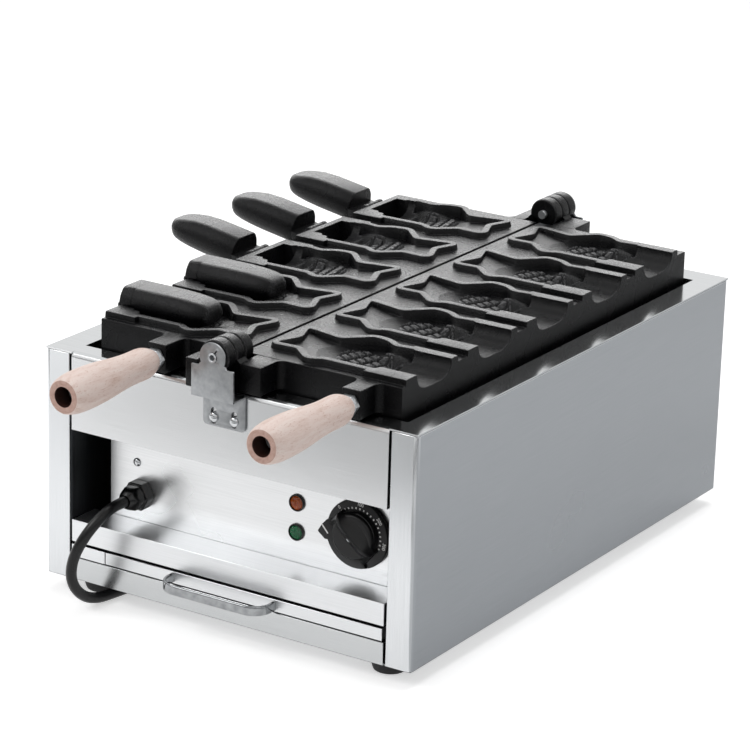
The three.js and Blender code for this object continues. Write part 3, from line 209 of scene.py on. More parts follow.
def turnedBeech(name, *colours):
    # Bare turned beech: pale pinkish wood with fine rays and darker flecks along the grain
    material, tree, shader, coordinates = startMaterial(name, Roughness=0.55)
    grain = noise(tree, stretched(tree, coordinates, (1 / 0.004, 1 / 0.03, 1 / 0.004)), 1.0, 5.0, 0.6)
    flecks = noise(tree, stretched(tree, coordinates, (1 / 0.0007, 1 / 0.004, 1 / 0.0007)), 1.0)
    wood = ramp(tree, grain, list(zip((0.3, 0.5, 0.75), colours)))
    darker = ramp(tree, flecks, [(0.6, "#ffffff"), (0.72, "#c79f86")])
    coloured(tree, shader, blended(tree, {"blend_type": "MULTIPLY", "Factor": 0.6},
                                   {"A": wood, "B": darker}))
    bumped(tree, shader, grain, 0.15, 0.0003)
    return material


def plated(name, dark, light, roughness):
    # Plated steel: bright metal with faint clouding from the bath
    material, tree, shader, coordinates = startMaterial(name, Metallic=1.0)
    cloud = noise(tree, coordinates, 160.0, 3.0)
    coloured(tree, shader, ramp(tree, cloud, [(0.3, dark), (0.7, light)]))
    roughened(tree, shader, cloud, roughness)
    return material


def moulded(name, dark, light, roughness, grit, **sockets):
    # Moulded plastic or rubber: even colour with a faint moulding texture that breaks the gloss
    material, tree, shader, coordinates = startMaterial(name, **sockets)
    grain = noise(tree, coordinates, 1 / (grit * mm))
    coloured(tree, shader, ramp(tree, grain, [(0.3, dark), (0.75, light)]))
    roughened(tree, shader, grain, roughness)
    bumped(tree, shader, grain, 0.1, 0.0001)
    return material


castCoat = castNonStick()
beech = turnedBeech("turned bare beech", "#e2c8bc", "#f0dbd2", "#f6e7df")
beechEnd = turnedBeech("beech end grain, faced off", "#b58f83", "#c6a396", "#d3b4a8")
# The bore's near-black is painted shade in the hole
boreShade = turnedBeech("drilled beech bore, darkened as painted shade", "#1d0904", "#2a0f08", "#35150b")
zincSteel = plated("zinc plated steel", "#a9acae", "#c2c4c6", (0.28, 0.42))
bracketZinc = plated("zinc plated strip, satin", "#8f9193", "#a2a4a6", (0.3, 0.42))
# The pull's strap is a darker copy of the chrome: painted shade
pullSteelShaded = plated("chrome plated strap, darkened as painted shade", "#86888a", "#9fa1a3", (0.1, 0.18))
chromeSteel = plated("chrome plated steel", "#b2b4b6", "#c6c8ca", (0.1, 0.18))
heaterSheath = plated("heater sheath with heat oxide", "#4a443d", "#6b645b", (0.4, 0.6))
knobPhenolic = moulded("phenolic knob, moulded satin", "#070708", "#0d0d0e", (0.3, 0.4), 1.0,
                       Specular_IOR_Level=0.3)
bezelBlack = moulded("lamp bezel, moulded black", "#0c0a0a", "#141212", (0.25, 0.35), 1.0)
glandNylon = moulded("nylon gland, moulded glossy", "#050506", "#0a0a0b", (0.16, 0.24), 0.8,
                     Specular_IOR_Level=0.35)
cordRubber = moulded("rubber cord sheath, extruded", "#060607", "#0b0b0c", (0.24, 0.34), 1.2,
                     Specular_IOR_Level=0.3)
footRubber = moulded("moulded rubber foot", "#141415", "#1d1d1e", (0.6, 0.75), 0.8)
steatite = moulded("pressed steatite ceramic", "#cfc8b8", "#d8d2c4", (0.5, 0.62), 1.0)
amberLens = moulded("amber polycarbonate lens", "#8a2f06", "#b85a10", (0.08, 0.14), 2.0)
greenLens = moulded("green polycarbonate lens", "#04462a", "#0d7a48", (0.08, 0.14), 2.0)
white = moulded("printed white dial ink", "#e8e8e6", "#f2f2f0", (0.5, 0.6), 0.6)

finishes = {part: finish for finish, parts in (
    (stainlessAlong, "side_panel"), (stainlessDeck, "top_deck"), (stainlessPanel, "control_panel rear_panel"),
    # The recess wall takes the dark sheet as painted shade
    (paintedShadeSheet, "recess_wall"), (stainlessRail, "bottom_rail"), (stainlessUp, "hinge_bracket"),
    (stainlessSill, "sill drawer_runner crumb_drawer"), (innerSheet, "base_pan heating_well heater_rack"),
    (heaterSheath, "heater"), (steatite, "thermostat terminal_block"), (amberLens, "lamp_amber"),
    (greenLens, "lamp_green"), (glandNylon, "cable_gland mains_plug"), (cordRubber, "cord"),
    (footRubber, "foot"), (knobPhenolic, "knob"), (chromeSteel, "panel_screw bracket_screw"),
    (pullSteelShaded, "drawer_handle"), (beech, "grip"),
    (zincSteel, "hinge_pin knob_spindle handle_bolt handle_nut"),
    (castCoat, "left_mould right_mould left_arm right_arm mouth_plug"),
) for part in parts.split()}


def finishOf(name):
    return finishes[max((key for key in finishes if name.startswith(key)), key=len)]


for name, node in nodes.items():
    node.data.materials.clear()
    node.data.materials.append(finishOf(name))

# Helpers for shapes


def angles(count):
    return [2 * math.pi * n / count for n in range(count)]


def rectangle(x0, x1, y0, y1):
    return [(x0, y0), (x1, y0), (x1, y1), (x0, y1)]


def skin(bm, rows, around=True, closed=False):
    # Faces between rows of points: around joins each row's ends, closed the last row to the first
    count = len(rows[0])
    for a, b in zip(rows, rows[1:] + rows[:1] if closed else rows[1:]):
        for n in range(count if around else count - 1):
            m = (n + 1) % count
            bm.faces.new((a[n], a[m], b[m], b[n]))


def loft(bm, rows):
    # A closed body through rows of points
    made = [[bm.verts.new(p) for p in row] for row in rows]
    skin(bm, made)
    bm.faces.new(made[0][::-1])
    bm.faces.new(made[-1])


def turned(bm, profile, at, sides, ring=True):
    # A body turned from a profile of radius and distance: a ring with a bore, or solid up to its axis
    rows = [[bm.verts.new(at(r * math.sin(a), r * math.cos(a), t)) for r, t in profile]
            for a in angles(sides)]
    skin(bm, rows, around=ring, closed=True)
    if not ring:
        bmesh.ops.remove_doubles(bm, verts=bm.verts, dist=1e-6)


def dressed(name, mesh, material, body, hidden=(), angle=32):
    # A finished piece: shaded smooth but for its sharp edges, riding on its body, in place of its CAD nodes
    if mesh.materials:
        mesh.materials.clear()
    mesh.materials.append(material)
    mesh.shade_smooth()
    mesh.set_sharp_from_angle(angle=math.radians(angle))
    piece = bpy.data.objects.new(name, mesh)
    scene.collection.objects.link(piece)
    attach(piece, body)
    if hidden:
        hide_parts(*hidden)
    return piece


def finishedPiece(name, bm, material, body, hidden=(), angle=32):
    bmesh.ops.recalc_face_normals(bm, faces=bm.faces)
    mesh = bpy.data.meshes.new(name)
    bm.to_mesh(mesh)
    bm.free()
    return dressed(name, mesh, material, body, hidden, angle)


print("cord and its pieces")
cordValues = {
    "radius": 5, "coil": (-58, 362), "turns": 3.25, "turnSteps": 24, "outer": 62, "pitch": 12.2,
    "inner": 43.7, "climb": 10.7, "climbStart": 1.5, "climbEnd": 2, "lead": 10,
}
cordRoute = [
    (-113.5, -272.8, 99.5), (-113.5, -286, 99.4), (-114.3, -296, 97.6), (-117, -306, 91.5),
    (-122, -313.5, 82), (-128.5, -318, 69), (-134.5, -320, 54), (-138, -318.5, 38), (-138.5, -312, 23.5),
    (-137, -300, 12), (-134.5, -285, 6.3), (-131.5, -266, 5.1), (-127.5, -240, 5.1), (-123, -205, 5.1),
    (-121, -160, 5.1), (-120, -100, 5.1), (-119.5, -20, 5.1), (-119, 60, 5.1), (-119, 140, 5.1),
    (-119.4, 220, 5.1), (-120, 290, 5.1), (-120, 330, 5.1),
]


def coilPoints():
    # The coil winds inwards on the floor, climbs by its own thickness and winds outwards on top
    v = cordValues
    middleX, middleY = v["coil"]
    points = []
    steps = int(v["turns"] * v["turnSteps"])
    for k in range(steps + 1):
        t = v["turns"] * k / steps
        radius, height = v["inner"], v["radius"] + v["climb"]
        if t < v["climbStart"]:
            radius, height = v["outer"] - v["pitch"] * t, v["radius"]
        elif t < v["climbEnd"]:
            height = v["radius"] + v["climb"] * (1 - math.cos((t - v["climbStart"]) * 2 * math.pi)) / 2
        else:
            radius += v["pitch"] * (t - v["climbEnd"])
        angle = math.pi - 2 * math.pi * t
        points.append((middleX + radius * math.cos(angle), middleY + radius * math.sin(angle), height))
    x, y, z = points[-1]
    return [(points[0][0], points[0][1] - v["lead"], v["radius"])] + points + [(x + v["lead"], y, z)]


def smoothPath(points, steps=4):
    # A curve through all the points, with more points on it
    p = [points[0] * 2 - points[1]] + points + [points[-1] * 2 - points[-2]]
    out = []
    for k in range(1, len(p) - 2):
        for n in range(steps):
            t = n / steps
            out.append(0.5 * (2 * p[k] + (p[k + 1] - p[k - 1]) * t
                              + (2 * p[k - 1] - 5 * p[k] + 4 * p[k + 1] - p[k + 2]) * t * t
                              + (3 * p[k] - p[k - 1] - 3 * p[k + 1] + p[k + 2]) * t ** 3))
    out.append(p[-2])
    return out


def tubeAlong(points, radius, sides=20):
    # A closed round tube along points, its ring turned as little as possible from one to the next
    bm = bmesh.new()
    rows, side = [], None
    for k, point in enumerate(points):
        ahead = (points[min(k + 1, len(points) - 1)] - points[max(k - 1, 0)]).normalized()
        side = ahead.orthogonal() if side is None else side
        side = (side - ahead * side.dot(ahead)).normalized()
        up = ahead.cross(side)
        rows.append([point + (side * math.cos(a) + up * math.sin(a)) * radius for a in angles(sides)])
    loft(bm, rows)
    return bm


wholeCord = smoothPath([place(*p) for p in cordRoute]) + [place(*p) for p in coilPoints()]
cordPath = [wholeCord[0]]
for point in wholeCord[1:]:
    if (point - cordPath[-1]).length > 0.0005:
        cordPath.append(point)
cord = finishedPiece("mains_cord", tubeAlong(cordPath, cordValues["radius"] * mm), cordRubber, "case",
                     ("cord", "cord_coil"), 60)

print("floor and lights")
scene.view_settings.view_transform = "Standard"
studio = {  # in m, but for the shares of light and the arc's degrees
    "floor": (-4.0, 4.0), "world": 0.36, "floorGlow": 0.5, "lift": 0.001, "cardX": (0.23, 2.6),
    "cardY": (-0.9, 3), "frontX": (-0.5, 0.5), "frontY": (-1.3, -0.6), "frontShade": (-0.5, -0.06),
    "bandRadius": 3.0, "bandHigh": 0.42, "bandArc": (-165, -15), "bandPieces": 12,
}
lamps = {  # where each stands, the height it aims at, its size and its power in W
    "key lamp": ((-1.6, -2.0, 2.2), 0.15, (1.6,), 30),
    "fill lamp": ((2.4, -1.6, 1.6), 0.1, (1.6,), 3),
    "top lamp": ((0.2, 0.6, 2.6), 0.2, (1.8,), 26),
    "back lamp": ((-2.2, 2.6, 1.9), 0.2, (4.0, 2.6), 125),
}


def stageSheet(name, corners, material, mirroredOnly=True):
    mesh = bpy.data.meshes.new(name)
    mesh.from_pydata(corners, [], [(0, 1, 2, 3)])
    mesh.materials.append(material)
    sheet = bpy.data.objects.new(name, mesh)
    scene.collection.objects.link(sheet)
    for seenBy in ("camera", "shadow", "diffuse", "transmission") if mirroredOnly else ():
        setattr(sheet, "visible_" + seenBy, False)


def lying(xs, ys, z):
    return [(*p, z) for p in rectangle(*xs, *ys)]


def studioCard(name, dark, light, scale):
    material, tree, shader, coordinates = startMaterial(name, Roughness=0.9)
    coloured(tree, shader, ramp(tree, noise(tree, coordinates, scale), [(0.0, dark), (1.0, light)]))
    return material


def seenOrMirrored(tree):
    # 1 for rays that the camera sees, through glass or in a mirror too, 0 for those that only light things
    rays = addNode(tree, "ShaderNodeLightPath").outputs
    seen = rays["Is Camera Ray"]
    for other in ("Is Transmission Ray", "Is Glossy Ray"):
        larger = addNode(tree, "ShaderNodeMath", {"operation": "MAXIMUM"}, {0: seen, 1: rays[other]})
        seen = larger.outputs[0]
    return seen


# White wherever the camera or a mirror looks at it, but for the object's own soft shadow
floorMaterial = studioCard("pale studio floor", "#f6f6f6", "#fafafa", 40.0)
floorTree = floorMaterial.node_tree
floorShader = floorTree.nodes["Principled BSDF"]
floorGlow = addNode(floorTree, "ShaderNodeMath", {"operation": "MULTIPLY", 1: studio["floorGlow"]},
                    {0: seenOrMirrored(floorTree)})
floorTree.links.new(floorGlow.outputs[0], floorShader.inputs["Emission Strength"])
floorShader.inputs["Emission Color"].default_value = (1, 1, 1, 1)
stageSheet("floor", lying(studio["floor"], studio["floor"], 0), floorMaterial, mirroredOnly=False)

# A grey card on the floor to the right, seen only by mirrors: the side panel shows its tone
stageSheet("card", lying(studio["cardX"], studio["cardY"], studio["lift"]),
           studioCard("grey studio card", "#e4e6e8", "#e4e6e8", 3.0))

# Another lies in front, pale on the left and greyer on the right, as the apron and the right stile show it
frontCard, frontTree, frontShader, frontCoordinates = startMaterial("shaded studio card", Roughness=0.9)
frontX = addNode(frontTree, "ShaderNodeSeparateXYZ", links={"Vector": frontCoordinates}).outputs["X"]
shadeFrom, shadeTo = studio["frontShade"]
shade = addNode(frontTree, "ShaderNodeMapRange", {"From Min": shadeFrom, "From Max": shadeTo},
                {"Value": frontX}).outputs["Result"]
coloured(frontTree, frontShader, ramp(frontTree, shade, [(0.0, "#f4f4f4"), (1.0, "#b6b7b8")]))
stageSheet("front_card", lying(studio["frontX"], studio["frontY"], studio["lift"]), frontCard)

# A dark band along the horizon in front, which only curved and chromed things mirror
curtain = studioCard("dark studio curtain", "#161718", "#202122", 6.0)
bandStops = [(studio["bandRadius"] * math.cos(a), studio["bandRadius"] * math.sin(a))
             for a in np.radians(np.linspace(*studio["bandArc"], studio["bandPieces"] + 1))]
for n, (a, b) in enumerate(zip(bandStops, bandStops[1:])):
    stageSheet(f"band_{n}", [(*a, 0), (*b, 0), (*b, studio["bandHigh"]), (*a, studio["bandHigh"])], curtain)

world = bpy.data.worlds.new("studio")
scene.world = world
world.use_nodes = True
worldTree = world.node_tree
background = worldTree.nodes["Background"]
strength = addNode(worldTree, "ShaderNodeMapRange", {"To Min": studio["world"], "To Max": 1.0},
                   {"Value": seenOrMirrored(worldTree)})
worldTree.links.new(strength.outputs["Result"], background.inputs["Strength"])
background.inputs["Color"].default_value = (1, 1, 1, 1)

for name, (location, aim, size, power) in lamps.items():
    data = bpy.data.lights.new(name, "AREA")
    data.shape = "RECTANGLE" if len(size) > 1 else "DISK"
    data.size = size[0]
    if len(size) > 1:
        data.size_y = size[1]
    data.energy = power
    lamp = bpy.data.objects.new(name, data)
    scene.collection.objects.link(lamp)
    lamp.location = location
    lamp.rotation_mode = "QUATERNION"
    lamp.rotation_quaternion = (Vector((0, 0, aim)) - Vector(location)).to_track_quat("-Z", "Y")
# The last, behind, lights the black castings alone, which take their sheen from it
lamp.visible_camera = False
castings = bpy.data.collections.new("castings")
lamp.light_linking.receiver_collection = castings

print("moulds")
castShape = {
    "plate": 259, "ridge": 264.5, "under": 222, "seam": 1.5, "front": -256, "back": 249,
    "reach": {-1: 152, 1: 163}, "pitch": 100, "cellHalf": 50, "firstMouth": -205, "ridgeWidth": 6,
    "rim": 0.5, "fishTail": 14, "fishLength": 112, "fishDepth": 72, "roundCorners": 5,
    "scaleAlong": (10.3, -2.8), "scaleAcross": (2.0, 8.2), "scaleMiddle": (75, 8.6), "scaleRise": 3.6,
    "grid": 1.6, "gill": (88, 4), "gillRadius": 25, "eye": (119.5, 6), "eyeRadius": 2.6,
    "handleX": {-1: -71, 1: 130}, "bossHalf": 9.5, "bossFront": -284, "bossLow": 233,
}
hollow = {"wall": 9, "rib": 3.5, "half": 46.5, "deep": 15, "taper": 1.2}
lug = {"x": (-158, -151), "z": (257, 262.4), "at": 11.6, "half": 3, "pinHeight": 260.6, "radius": 3.6}
fishShares = [
    (0.03, -0.34), (0.26, -0.32), (0.44, -0.57), (0.54, -0.47), (1, -0.48),
    (1, 0.42), (0.81, 0.38), (0.7, 0.5), (0.57, 0.53), (0.385, 0.23), (0.04, 0.34), (0.12, 0.01),
]
bodyShares = [(0.385, 0.25), (0.337, 0.15), (0.302, -0.01), (0.32, -0.18), (0.4, -0.33), (0.42, -0.9),
              (1.2, -0.9), (1.2, 0.9), (0.385, 0.9)]
sideNames, endNames = {-1: "left", 1: "right"}, {-1: "front", 1: "rear"}


def rounding(a, p, b, radius, share=0.42, steps=6):
    # A corner at p between a and b, rounded by at most a share of its shorter side
    p, a, b = (np.array(q, float) for q in (p, a, b))
    lengthA, lengthB = np.linalg.norm(a - p), np.linalg.norm(b - p)
    reach = min(radius, share * lengthA, share * lengthB)
    start, end = p + (a - p) / lengthA * reach, p + (b - p) / lengthB * reach
    return [(1 - t) ** 2 * start + 2 * t * (1 - t) * p + t * t * end for t in np.linspace(0, 1, steps + 1)]


def roundedOutline(shares):
    v = castShape
    corners = [(v["fishTail"] + a * v["fishLength"], b * v["fishDepth"]) for a, b in shares]
    after = corners[1:] + corners[:1]
    return np.array([q for k, p in enumerate(corners)
                     for q in rounding(corners[k - 1], p, after[k], v["roundCorners"])])


def resampled(outline, spacing):
    out = []
    for a, b in zip(outline, np.roll(outline, -1, axis=0)):
        pieces = max(1, int(np.linalg.norm(b - a) / spacing))
        out.extend(a + (b - a) * n / pieces for n in range(pieces))
    return np.array(out)


def distanceTo(outline, points):
    # Signed distance to a closed outline, below zero inside it
    points = np.asarray(points, float)
    best = np.full(len(points), 1e9)
    inside = np.zeros(len(points), bool)
    for a, b in zip(outline, np.roll(outline, -1, axis=0)):
        edge = b - a
        t = np.clip(((points - a) @ edge) / max(edge @ edge, 1e-12), 0, 1)
        best = np.minimum(best, np.linalg.norm(points - a - t[:, None] * edge, axis=1))
        cross = (a[1] > points[:, 1]) != (b[1] > points[:, 1])
        with np.errstate(divide="ignore", invalid="ignore"):
            at = a[0] + (points[:, 1] - a[1]) / (b[1] - a[1]) * edge[0]
        inside ^= cross & (points[:, 0] < at)
    return np.where(inside, -best, best)


fishLine, bodyLine = roundedOutline(fishShares), roundedOutline(bodyShares)
# Each pair is a distance across an edge and the height there, or a place along the fish and its depth
crestSteps = [(-0.5, 0), (-0.1, -0.12), (0.2, -0.6), (1.2, -5.0), (1.6, -5.38), (2.3, -5.5)]
blockSteps = [(-0.5, 0), (-0.15, -0.12), (0.15, -0.5), (0.7, -5.05), (1.0, -5.4), (1.5, -5.5)]
wallSteps = [(-0.45, 0), (-0.1, -0.1), (0.15, -0.55)]
slopeSteps = [(0, 0), (0.6, 0.13), (2, 0.45), (4.5, 0.8), (8, 0.97), (11, 1)]
pitSteps = [(-0.4, 0), (-0.05, -0.25), (0.6, -18.8), (1.0, -19.8), (1.6, -20)]
scaleSteps = [(0, 0), (0.05, 0.1), (0.2, 0.76), (0.3, 0.9), (0.5, 1)]
tailDepths = [(17, 3.6), (38, 5.6), (60, 6.8), (126, 7.4)]
wallDepths = [(54, 7.4), (65, 9.4), (70, 10.4), (76, 12), (84, 11.8), (90, 11), (97, 9.2), (105, 6.8),
              (112, 7.6), (118, 9.2), (126, 12)]
middleDepths = [(50, 7.6), (64, 9.6), (72, 11), (80, 12.8), (92, 15.2), (104, 16.8), (114, 17.2), (122, 16)]
channelSteps = [28.6, 28.1, 27.9, 27.4, 26.4, 24.4, 21.5, 18, 13, 7, 0]
channel = {"half": 28, "edge": 28.6, "depth": 15.2, "power": 4, "start": 117.5, "blockStart": 120,
           "near": 45, "far": 38}
pocket = {"start": 133, "end": 145, "half": 24}


def along(steps, values):
    return np.interp(values, [s for s, _ in steps], [h for _, h in steps])


def easy(values):
    t = np.clip(values, 0, 1)
    return t * t * (3 - 2 * t)


def castHeights(points, side):
    # Height of a mould's upper face over one mouth's cell, from the seam outwards and along the row
    v = castShape
    points = np.asarray(points, float)
    u, w = points[:, 0], points[:, 1]
    fish, body = distanceTo(fishLine, points), distanceTo(bodyLine, points)
    ridge = along(crestSteps, fish - v["ridgeWidth"])
    fromBlock = np.maximum(np.maximum(channel["blockStart"] - u, w - channel["far"]), -channel["near"] - w)
    top = np.maximum(ridge, along(blockSteps, fromBlock))
    # Nearly upright walls from the ridge's crest down to a flat tail and a bowl-shaped body
    inward = -fish
    tailDepth, wallDepth, middleDepth = (along(steps, u) for steps in (tailDepths, wallDepths, middleDepths))
    bowl = wallDepth + (middleDepth - wallDepth) * easy((inward - 1.5) / 13)
    depth = tailDepth + (np.maximum(bowl, tailDepth) - tailDepth) * along(slopeSteps, -body)
    depth = np.where(body > 0, tailDepth, depth)
    wall = np.clip((inward - 0.15) / (0.5 + 0.08 * depth), 0, 1)
    cavity = np.where(inward < 0.15, along(wallSteps, inward), -0.55 - (depth - 0.55) * wall)
    cavity = np.where(fish > 0.45, 1.0, cavity)
    # The trough that the mouth's plug lies in, open to the outer edge
    t = np.abs(w) / channel["half"]
    depth = channel["depth"] * np.sqrt(np.clip(1 - np.clip(t, 0, 1) ** channel["power"], 0, 1))
    depth = np.maximum(depth, np.interp(np.abs(w), [channel["half"], channel["edge"]], [0.25, 0]))
    trough = np.where((u > channel["start"]) & (np.abs(w) < channel["edge"]),
                      -depth * easy((u - channel["start"]) / 2.5), 1.0)
    if side < 0:
        trough = np.where(u > pocket["start"] + 0.5, 1.0, trough)
        fromPocket = np.maximum(np.maximum(pocket["start"] - u, u - pocket["end"]),
                                np.abs(w) - pocket["half"])
        trough = np.minimum(trough, np.where(fromPocket < 0.4, along(pitSteps, -fromPocket), 1.0))
    height = np.where(cavity < 0.9, np.minimum(top, cavity), top)
    height = np.where(trough < 0.9, np.minimum(height, trough), height)
    # Scales, the gill's edge and the eye stand up from the bowl
    plain = height
    (ax, aw), (bx, bw) = v["scaleAlong"], v["scaleAcross"]
    du, dw = u - v["scaleMiddle"][0], w - v["scaleMiddle"][1]
    area = ax * bw - aw * bx
    first, second = (du * bw - dw * bx) / area, (dw * ax - du * aw) / area
    fromGroove = 0.5 - np.maximum(np.abs(first - np.round(first)), np.abs(second - np.round(second)))
    gill = np.hypot(u - v["gill"][0], w - v["gill"][1]) - v["gillRadius"]
    onFloor = (fish < -2.2) & (body < 0)
    within = easy((-body - 2.4) / 1.5) * easy((-fish - 2.2) / 1.2) * easy((-gill - 1.4) / 1.2)
    height = height + v["scaleRise"] * (along(scaleSteps, fromGroove) - 0.14) * within
    rib = np.where(onFloor & (u > 96) & (u < 124), np.clip(1 - (gill / 1.5) ** 2, 0, 1), 0)
    eye = np.hypot(u - v["eye"][0], w - v["eye"][1])
    ring = np.clip(1 - (eye - v["eyeRadius"]) ** 2, 0, 1) * onFloor
    height = height + 1.5 * rib - 1.1 * ring
    return height, {"fish": fish, "ridge": ridge, "cavity": cavity, "trough": trough, "plain": plain,
                    "within": within}


def castCell(side):
    # One mouth's cell, cut into triangles along every crease
    v = castShape
    reach, rim, half = v["reach"][side], v["rim"], v["cellHalf"]
    points, edges = [], []

    def parts(path):
        return castHeights(path, side)[1]

    def line(path, keep=None, closed=False):
        path = np.asarray(path, float)
        kept = np.ones(len(path), bool) if keep is None else keep(path)
        kept &= (path[:, 0] >= v["seam"]) & (path[:, 0] <= reach) & (np.abs(path[:, 1]) <= half)
        numbers = np.cumsum(kept) - 1 + len(points)
        points.extend(map(tuple, path[kept]))
        for k in range(len(path) if closed else len(path) - 1):
            n = (k + 1) % len(path)
            if kept[k] and kept[n]:
                edges.append((int(numbers[k]), int(numbers[n])))

    def active(component):
        def test(path):
            found = parts(path)
            return np.abs(found[component] - found["plain"]) < 0.05
        return test

    def offsetLine(outline, distance, test, spacing=1.6):
        # A line beside an outline, where it is as far from it as asked and the test holds
        dense = resampled(outline, spacing)
        ahead = np.roll(dense, -1, axis=0) - np.roll(dense, 1, axis=0)
        outward = np.stack([ahead[:, 1], -ahead[:, 0]], axis=1)
        outward /= np.linalg.norm(outward, axis=1)[:, None]
        moved = dense + outward * distance
        if np.sign(distanceTo(outline, moved[:1])[0]) != np.sign(distance):
            moved = dense - outward * distance
        fair = np.abs(distanceTo(outline, moved)) > abs(distance) - 0.03
        line(moved, lambda path: fair & test(path), closed=True)

    for step, _ in crestSteps:
        offsetLine(fishLine, v["ridgeWidth"] + step, active("ridge"), 2.4)
    for distance in (0.45, 0.1, -0.15, -1.05, -1.6, -2.3, -3.4):
        offsetLine(fishLine, distance, active("cavity"))
    for step, _ in slopeSteps[:5]:
        offsetLine(bodyLine, -step - 0.01, lambda path: parts(path)["fish"] < -1.7)
    for step, _ in blockSteps:
        near, far, start = -channel["near"] - step, channel["far"] + step, channel["blockStart"] - step
        inwards = [reach - k * 3 for k in range(int((reach - start) / 3) + 1)]
        path = [(u, near) for u in inwards] + [(start, near)]
        path += [(start, near + k * 3) for k in range(1, int((far - near) / 3))] + [(start, far)]
        path += [(u, far) for u in inwards[::-1]]
        line(path, lambda p: parts(p)["fish"] > v["ridgeWidth"] - 0.6)
    channelEnd = reach if side > 0 else pocket["start"]
    for w in sorted(set([-t for t in channelSteps] + channelSteps)):
        path = [(channelEnd - k * 2.5, w) for k in range(int((channelEnd - 126) / 2.5) + 1)]
        line(path + [(125.4, w), (124.2, w)], active("trough"))
    if side < 0:
        for out in (-1.6, -1.0, -0.6, 0.05, 0.4):
            corners = rectangle(pocket["start"] - out, pocket["end"] + out, -pocket["half"] - out,
                                pocket["half"] + out)
            line(resampled(np.array(corners, float), 3), closed=True)
    (gillU, gillW), (eyeU, eyeW) = v["gill"], v["eye"]
    for radius in (v["gillRadius"] + out for out in (-1.5, 0, 1.5)):
        arc = [(gillU + radius * math.cos(t), gillW + radius * math.sin(t))
               for t in np.linspace(-1.2, 1.2, 40)]
        line(arc, lambda p: parts(p)["fish"] < -2.2)
    for radius in (v["eyeRadius"] + out for out in (-0.9, 0, 0.9)):
        line([(eyeU + radius * math.cos(t), eyeW + radius * math.sin(t)) for t in angles(14)], closed=True)
    middle = np.array(v["scaleMiddle"], float)
    for ahead, across in ((v["scaleAlong"], v["scaleAcross"]), (v["scaleAcross"], v["scaleAlong"])):
        for number in range(-9, 9):
            for shift in (-0.2, -0.05, 0.05, 0.2):
                start = middle + np.array(across) * (number + 0.5 + shift)
                line([start + np.array(ahead) * s for s in np.arange(-8, 8, 0.15)],
                     lambda p: parts(p)["within"] > 0.05)
    for u in (v["seam"] + rim, reach - rim):
        line([(u, w) for w in np.arange(-half, half + 0.1, 2.5)])
    for u in (v["seam"], reach):
        line([(u, w) for w in np.arange(-half, half + 0.1, 5)])
    samples = [v["seam"], v["seam"] + rim] + list(np.linspace(14, reach - 12, 8)) + [reach - rim, reach]
    for w in (-half, half):
        line([(u, w) for u in samples])
    # A finer grid inside the cavities
    us, ws = np.meshgrid(np.arange(16, reach, v["grid"]), np.arange(-44, 45, v["grid"]))
    grid = np.stack([us.ravel(), ws.ravel()], axis=1)
    found = parts(grid)
    known = np.array(points)
    grid = grid[((found["fish"] < -1.6) | (found["trough"] < -0.6)) & (grid[:, 0] < reach - 1)]
    clear = np.array([np.min(np.abs(known - g).sum(axis=1)) > 0.8 for g in grid])
    points.extend(map(tuple, grid[clear]))
    cut = delaunay_2d_cdt([Vector(p) for p in points], edges, [], 0, 1e-4)
    flat = np.array([(p.x, p.y) for p in cut[0]])
    heights = castHeights(flat, side)[0]
    edge = (np.abs(flat[:, 0] - v["seam"]) < 1e-3) | (np.abs(flat[:, 0] - reach) < 1e-3)
    heights[edge] -= rim
    return flat, heights, [tuple(f) for f in cut[2]], samples


def hollowUnderside(bm, side):
    # Walls down from the open rim to the underside, which has a hollow under each half of a cell
    v = castShape
    rimEdges = [e for e in bm.edges if e.is_boundary]
    low = bmesh.ops.extrude_edge_only(bm, edges=rimEdges)["geom"]
    for vert in (g for g in low if isinstance(g, bmesh.types.BMVert)):
        vert.co.z = v["under"] * mm
    lowEdges = [g for g in low if isinstance(g, bmesh.types.BMEdge) and g.is_boundary]
    numbers = {}
    for e in lowEdges:
        for p in e.verts:
            numbers.setdefault(p, len(numbers))
    ordered = list(numbers)
    flat = [(p.co.x, p.co.y) for p in ordered]
    edges = [(numbers[e.verts[0]], numbers[e.verts[1]]) for e in lowEdges]
    hollows = []
    middle = (v["seam"] + v["reach"][side]) / 2
    for k in range(5):
        centre = v["firstMouth"] + k * v["pitch"] - hollow["rib"]
        y0 = max(centre - hollow["half"], v["front"] + hollow["wall"])
        y1 = min(centre + hollow["half"], v["back"] - hollow["wall"])
        for u0, u1 in ((v["seam"] + hollow["wall"], middle - hollow["rib"]),
                       (middle + hollow["rib"], v["reach"][side] - hollow["wall"])):
            hollows.append((u0, u1, y0, y1))
            for inset in (0, hollow["taper"]):
                start = len(flat)
                corners = rectangle(u0 + inset, u1 - inset, y0 + inset, y1 - inset)
                flat += [tuple(place(side * u, y, 0).xy) for u, y in corners]
                edges += [(start + n, start + (n + 1) % 4) for n in range(4)]
    found = delaunay_2d_cdt([Vector(p) for p in flat], edges, [], 1, 1e-7)
    made = []
    for p, sources in zip(found[0], found[3]):
        old = [s for s in sources if s < len(ordered)]
        if old:
            made.append(ordered[old[0]])
            continue
        z = v["under"]
        for u0, u1, y0, y1 in hollows:
            inset = hollow["taper"] / 2
            a, b = place(side * (u0 + inset), y0 + inset, 0), place(side * (u1 - inset), y1 - inset, 0)
            if min(a.x, b.x) < p.x < max(a.x, b.x) and a.y < p.y < b.y:
                z += hollow["deep"]
        made.append(bm.verts.new((p.x, p.y, z * mm)))
    for face in found[2]:
        corners = [made[i] for i in face]
        if len(set(corners)) == len(corners) and not bm.faces.get(corners):
            bm.faces.new(corners)


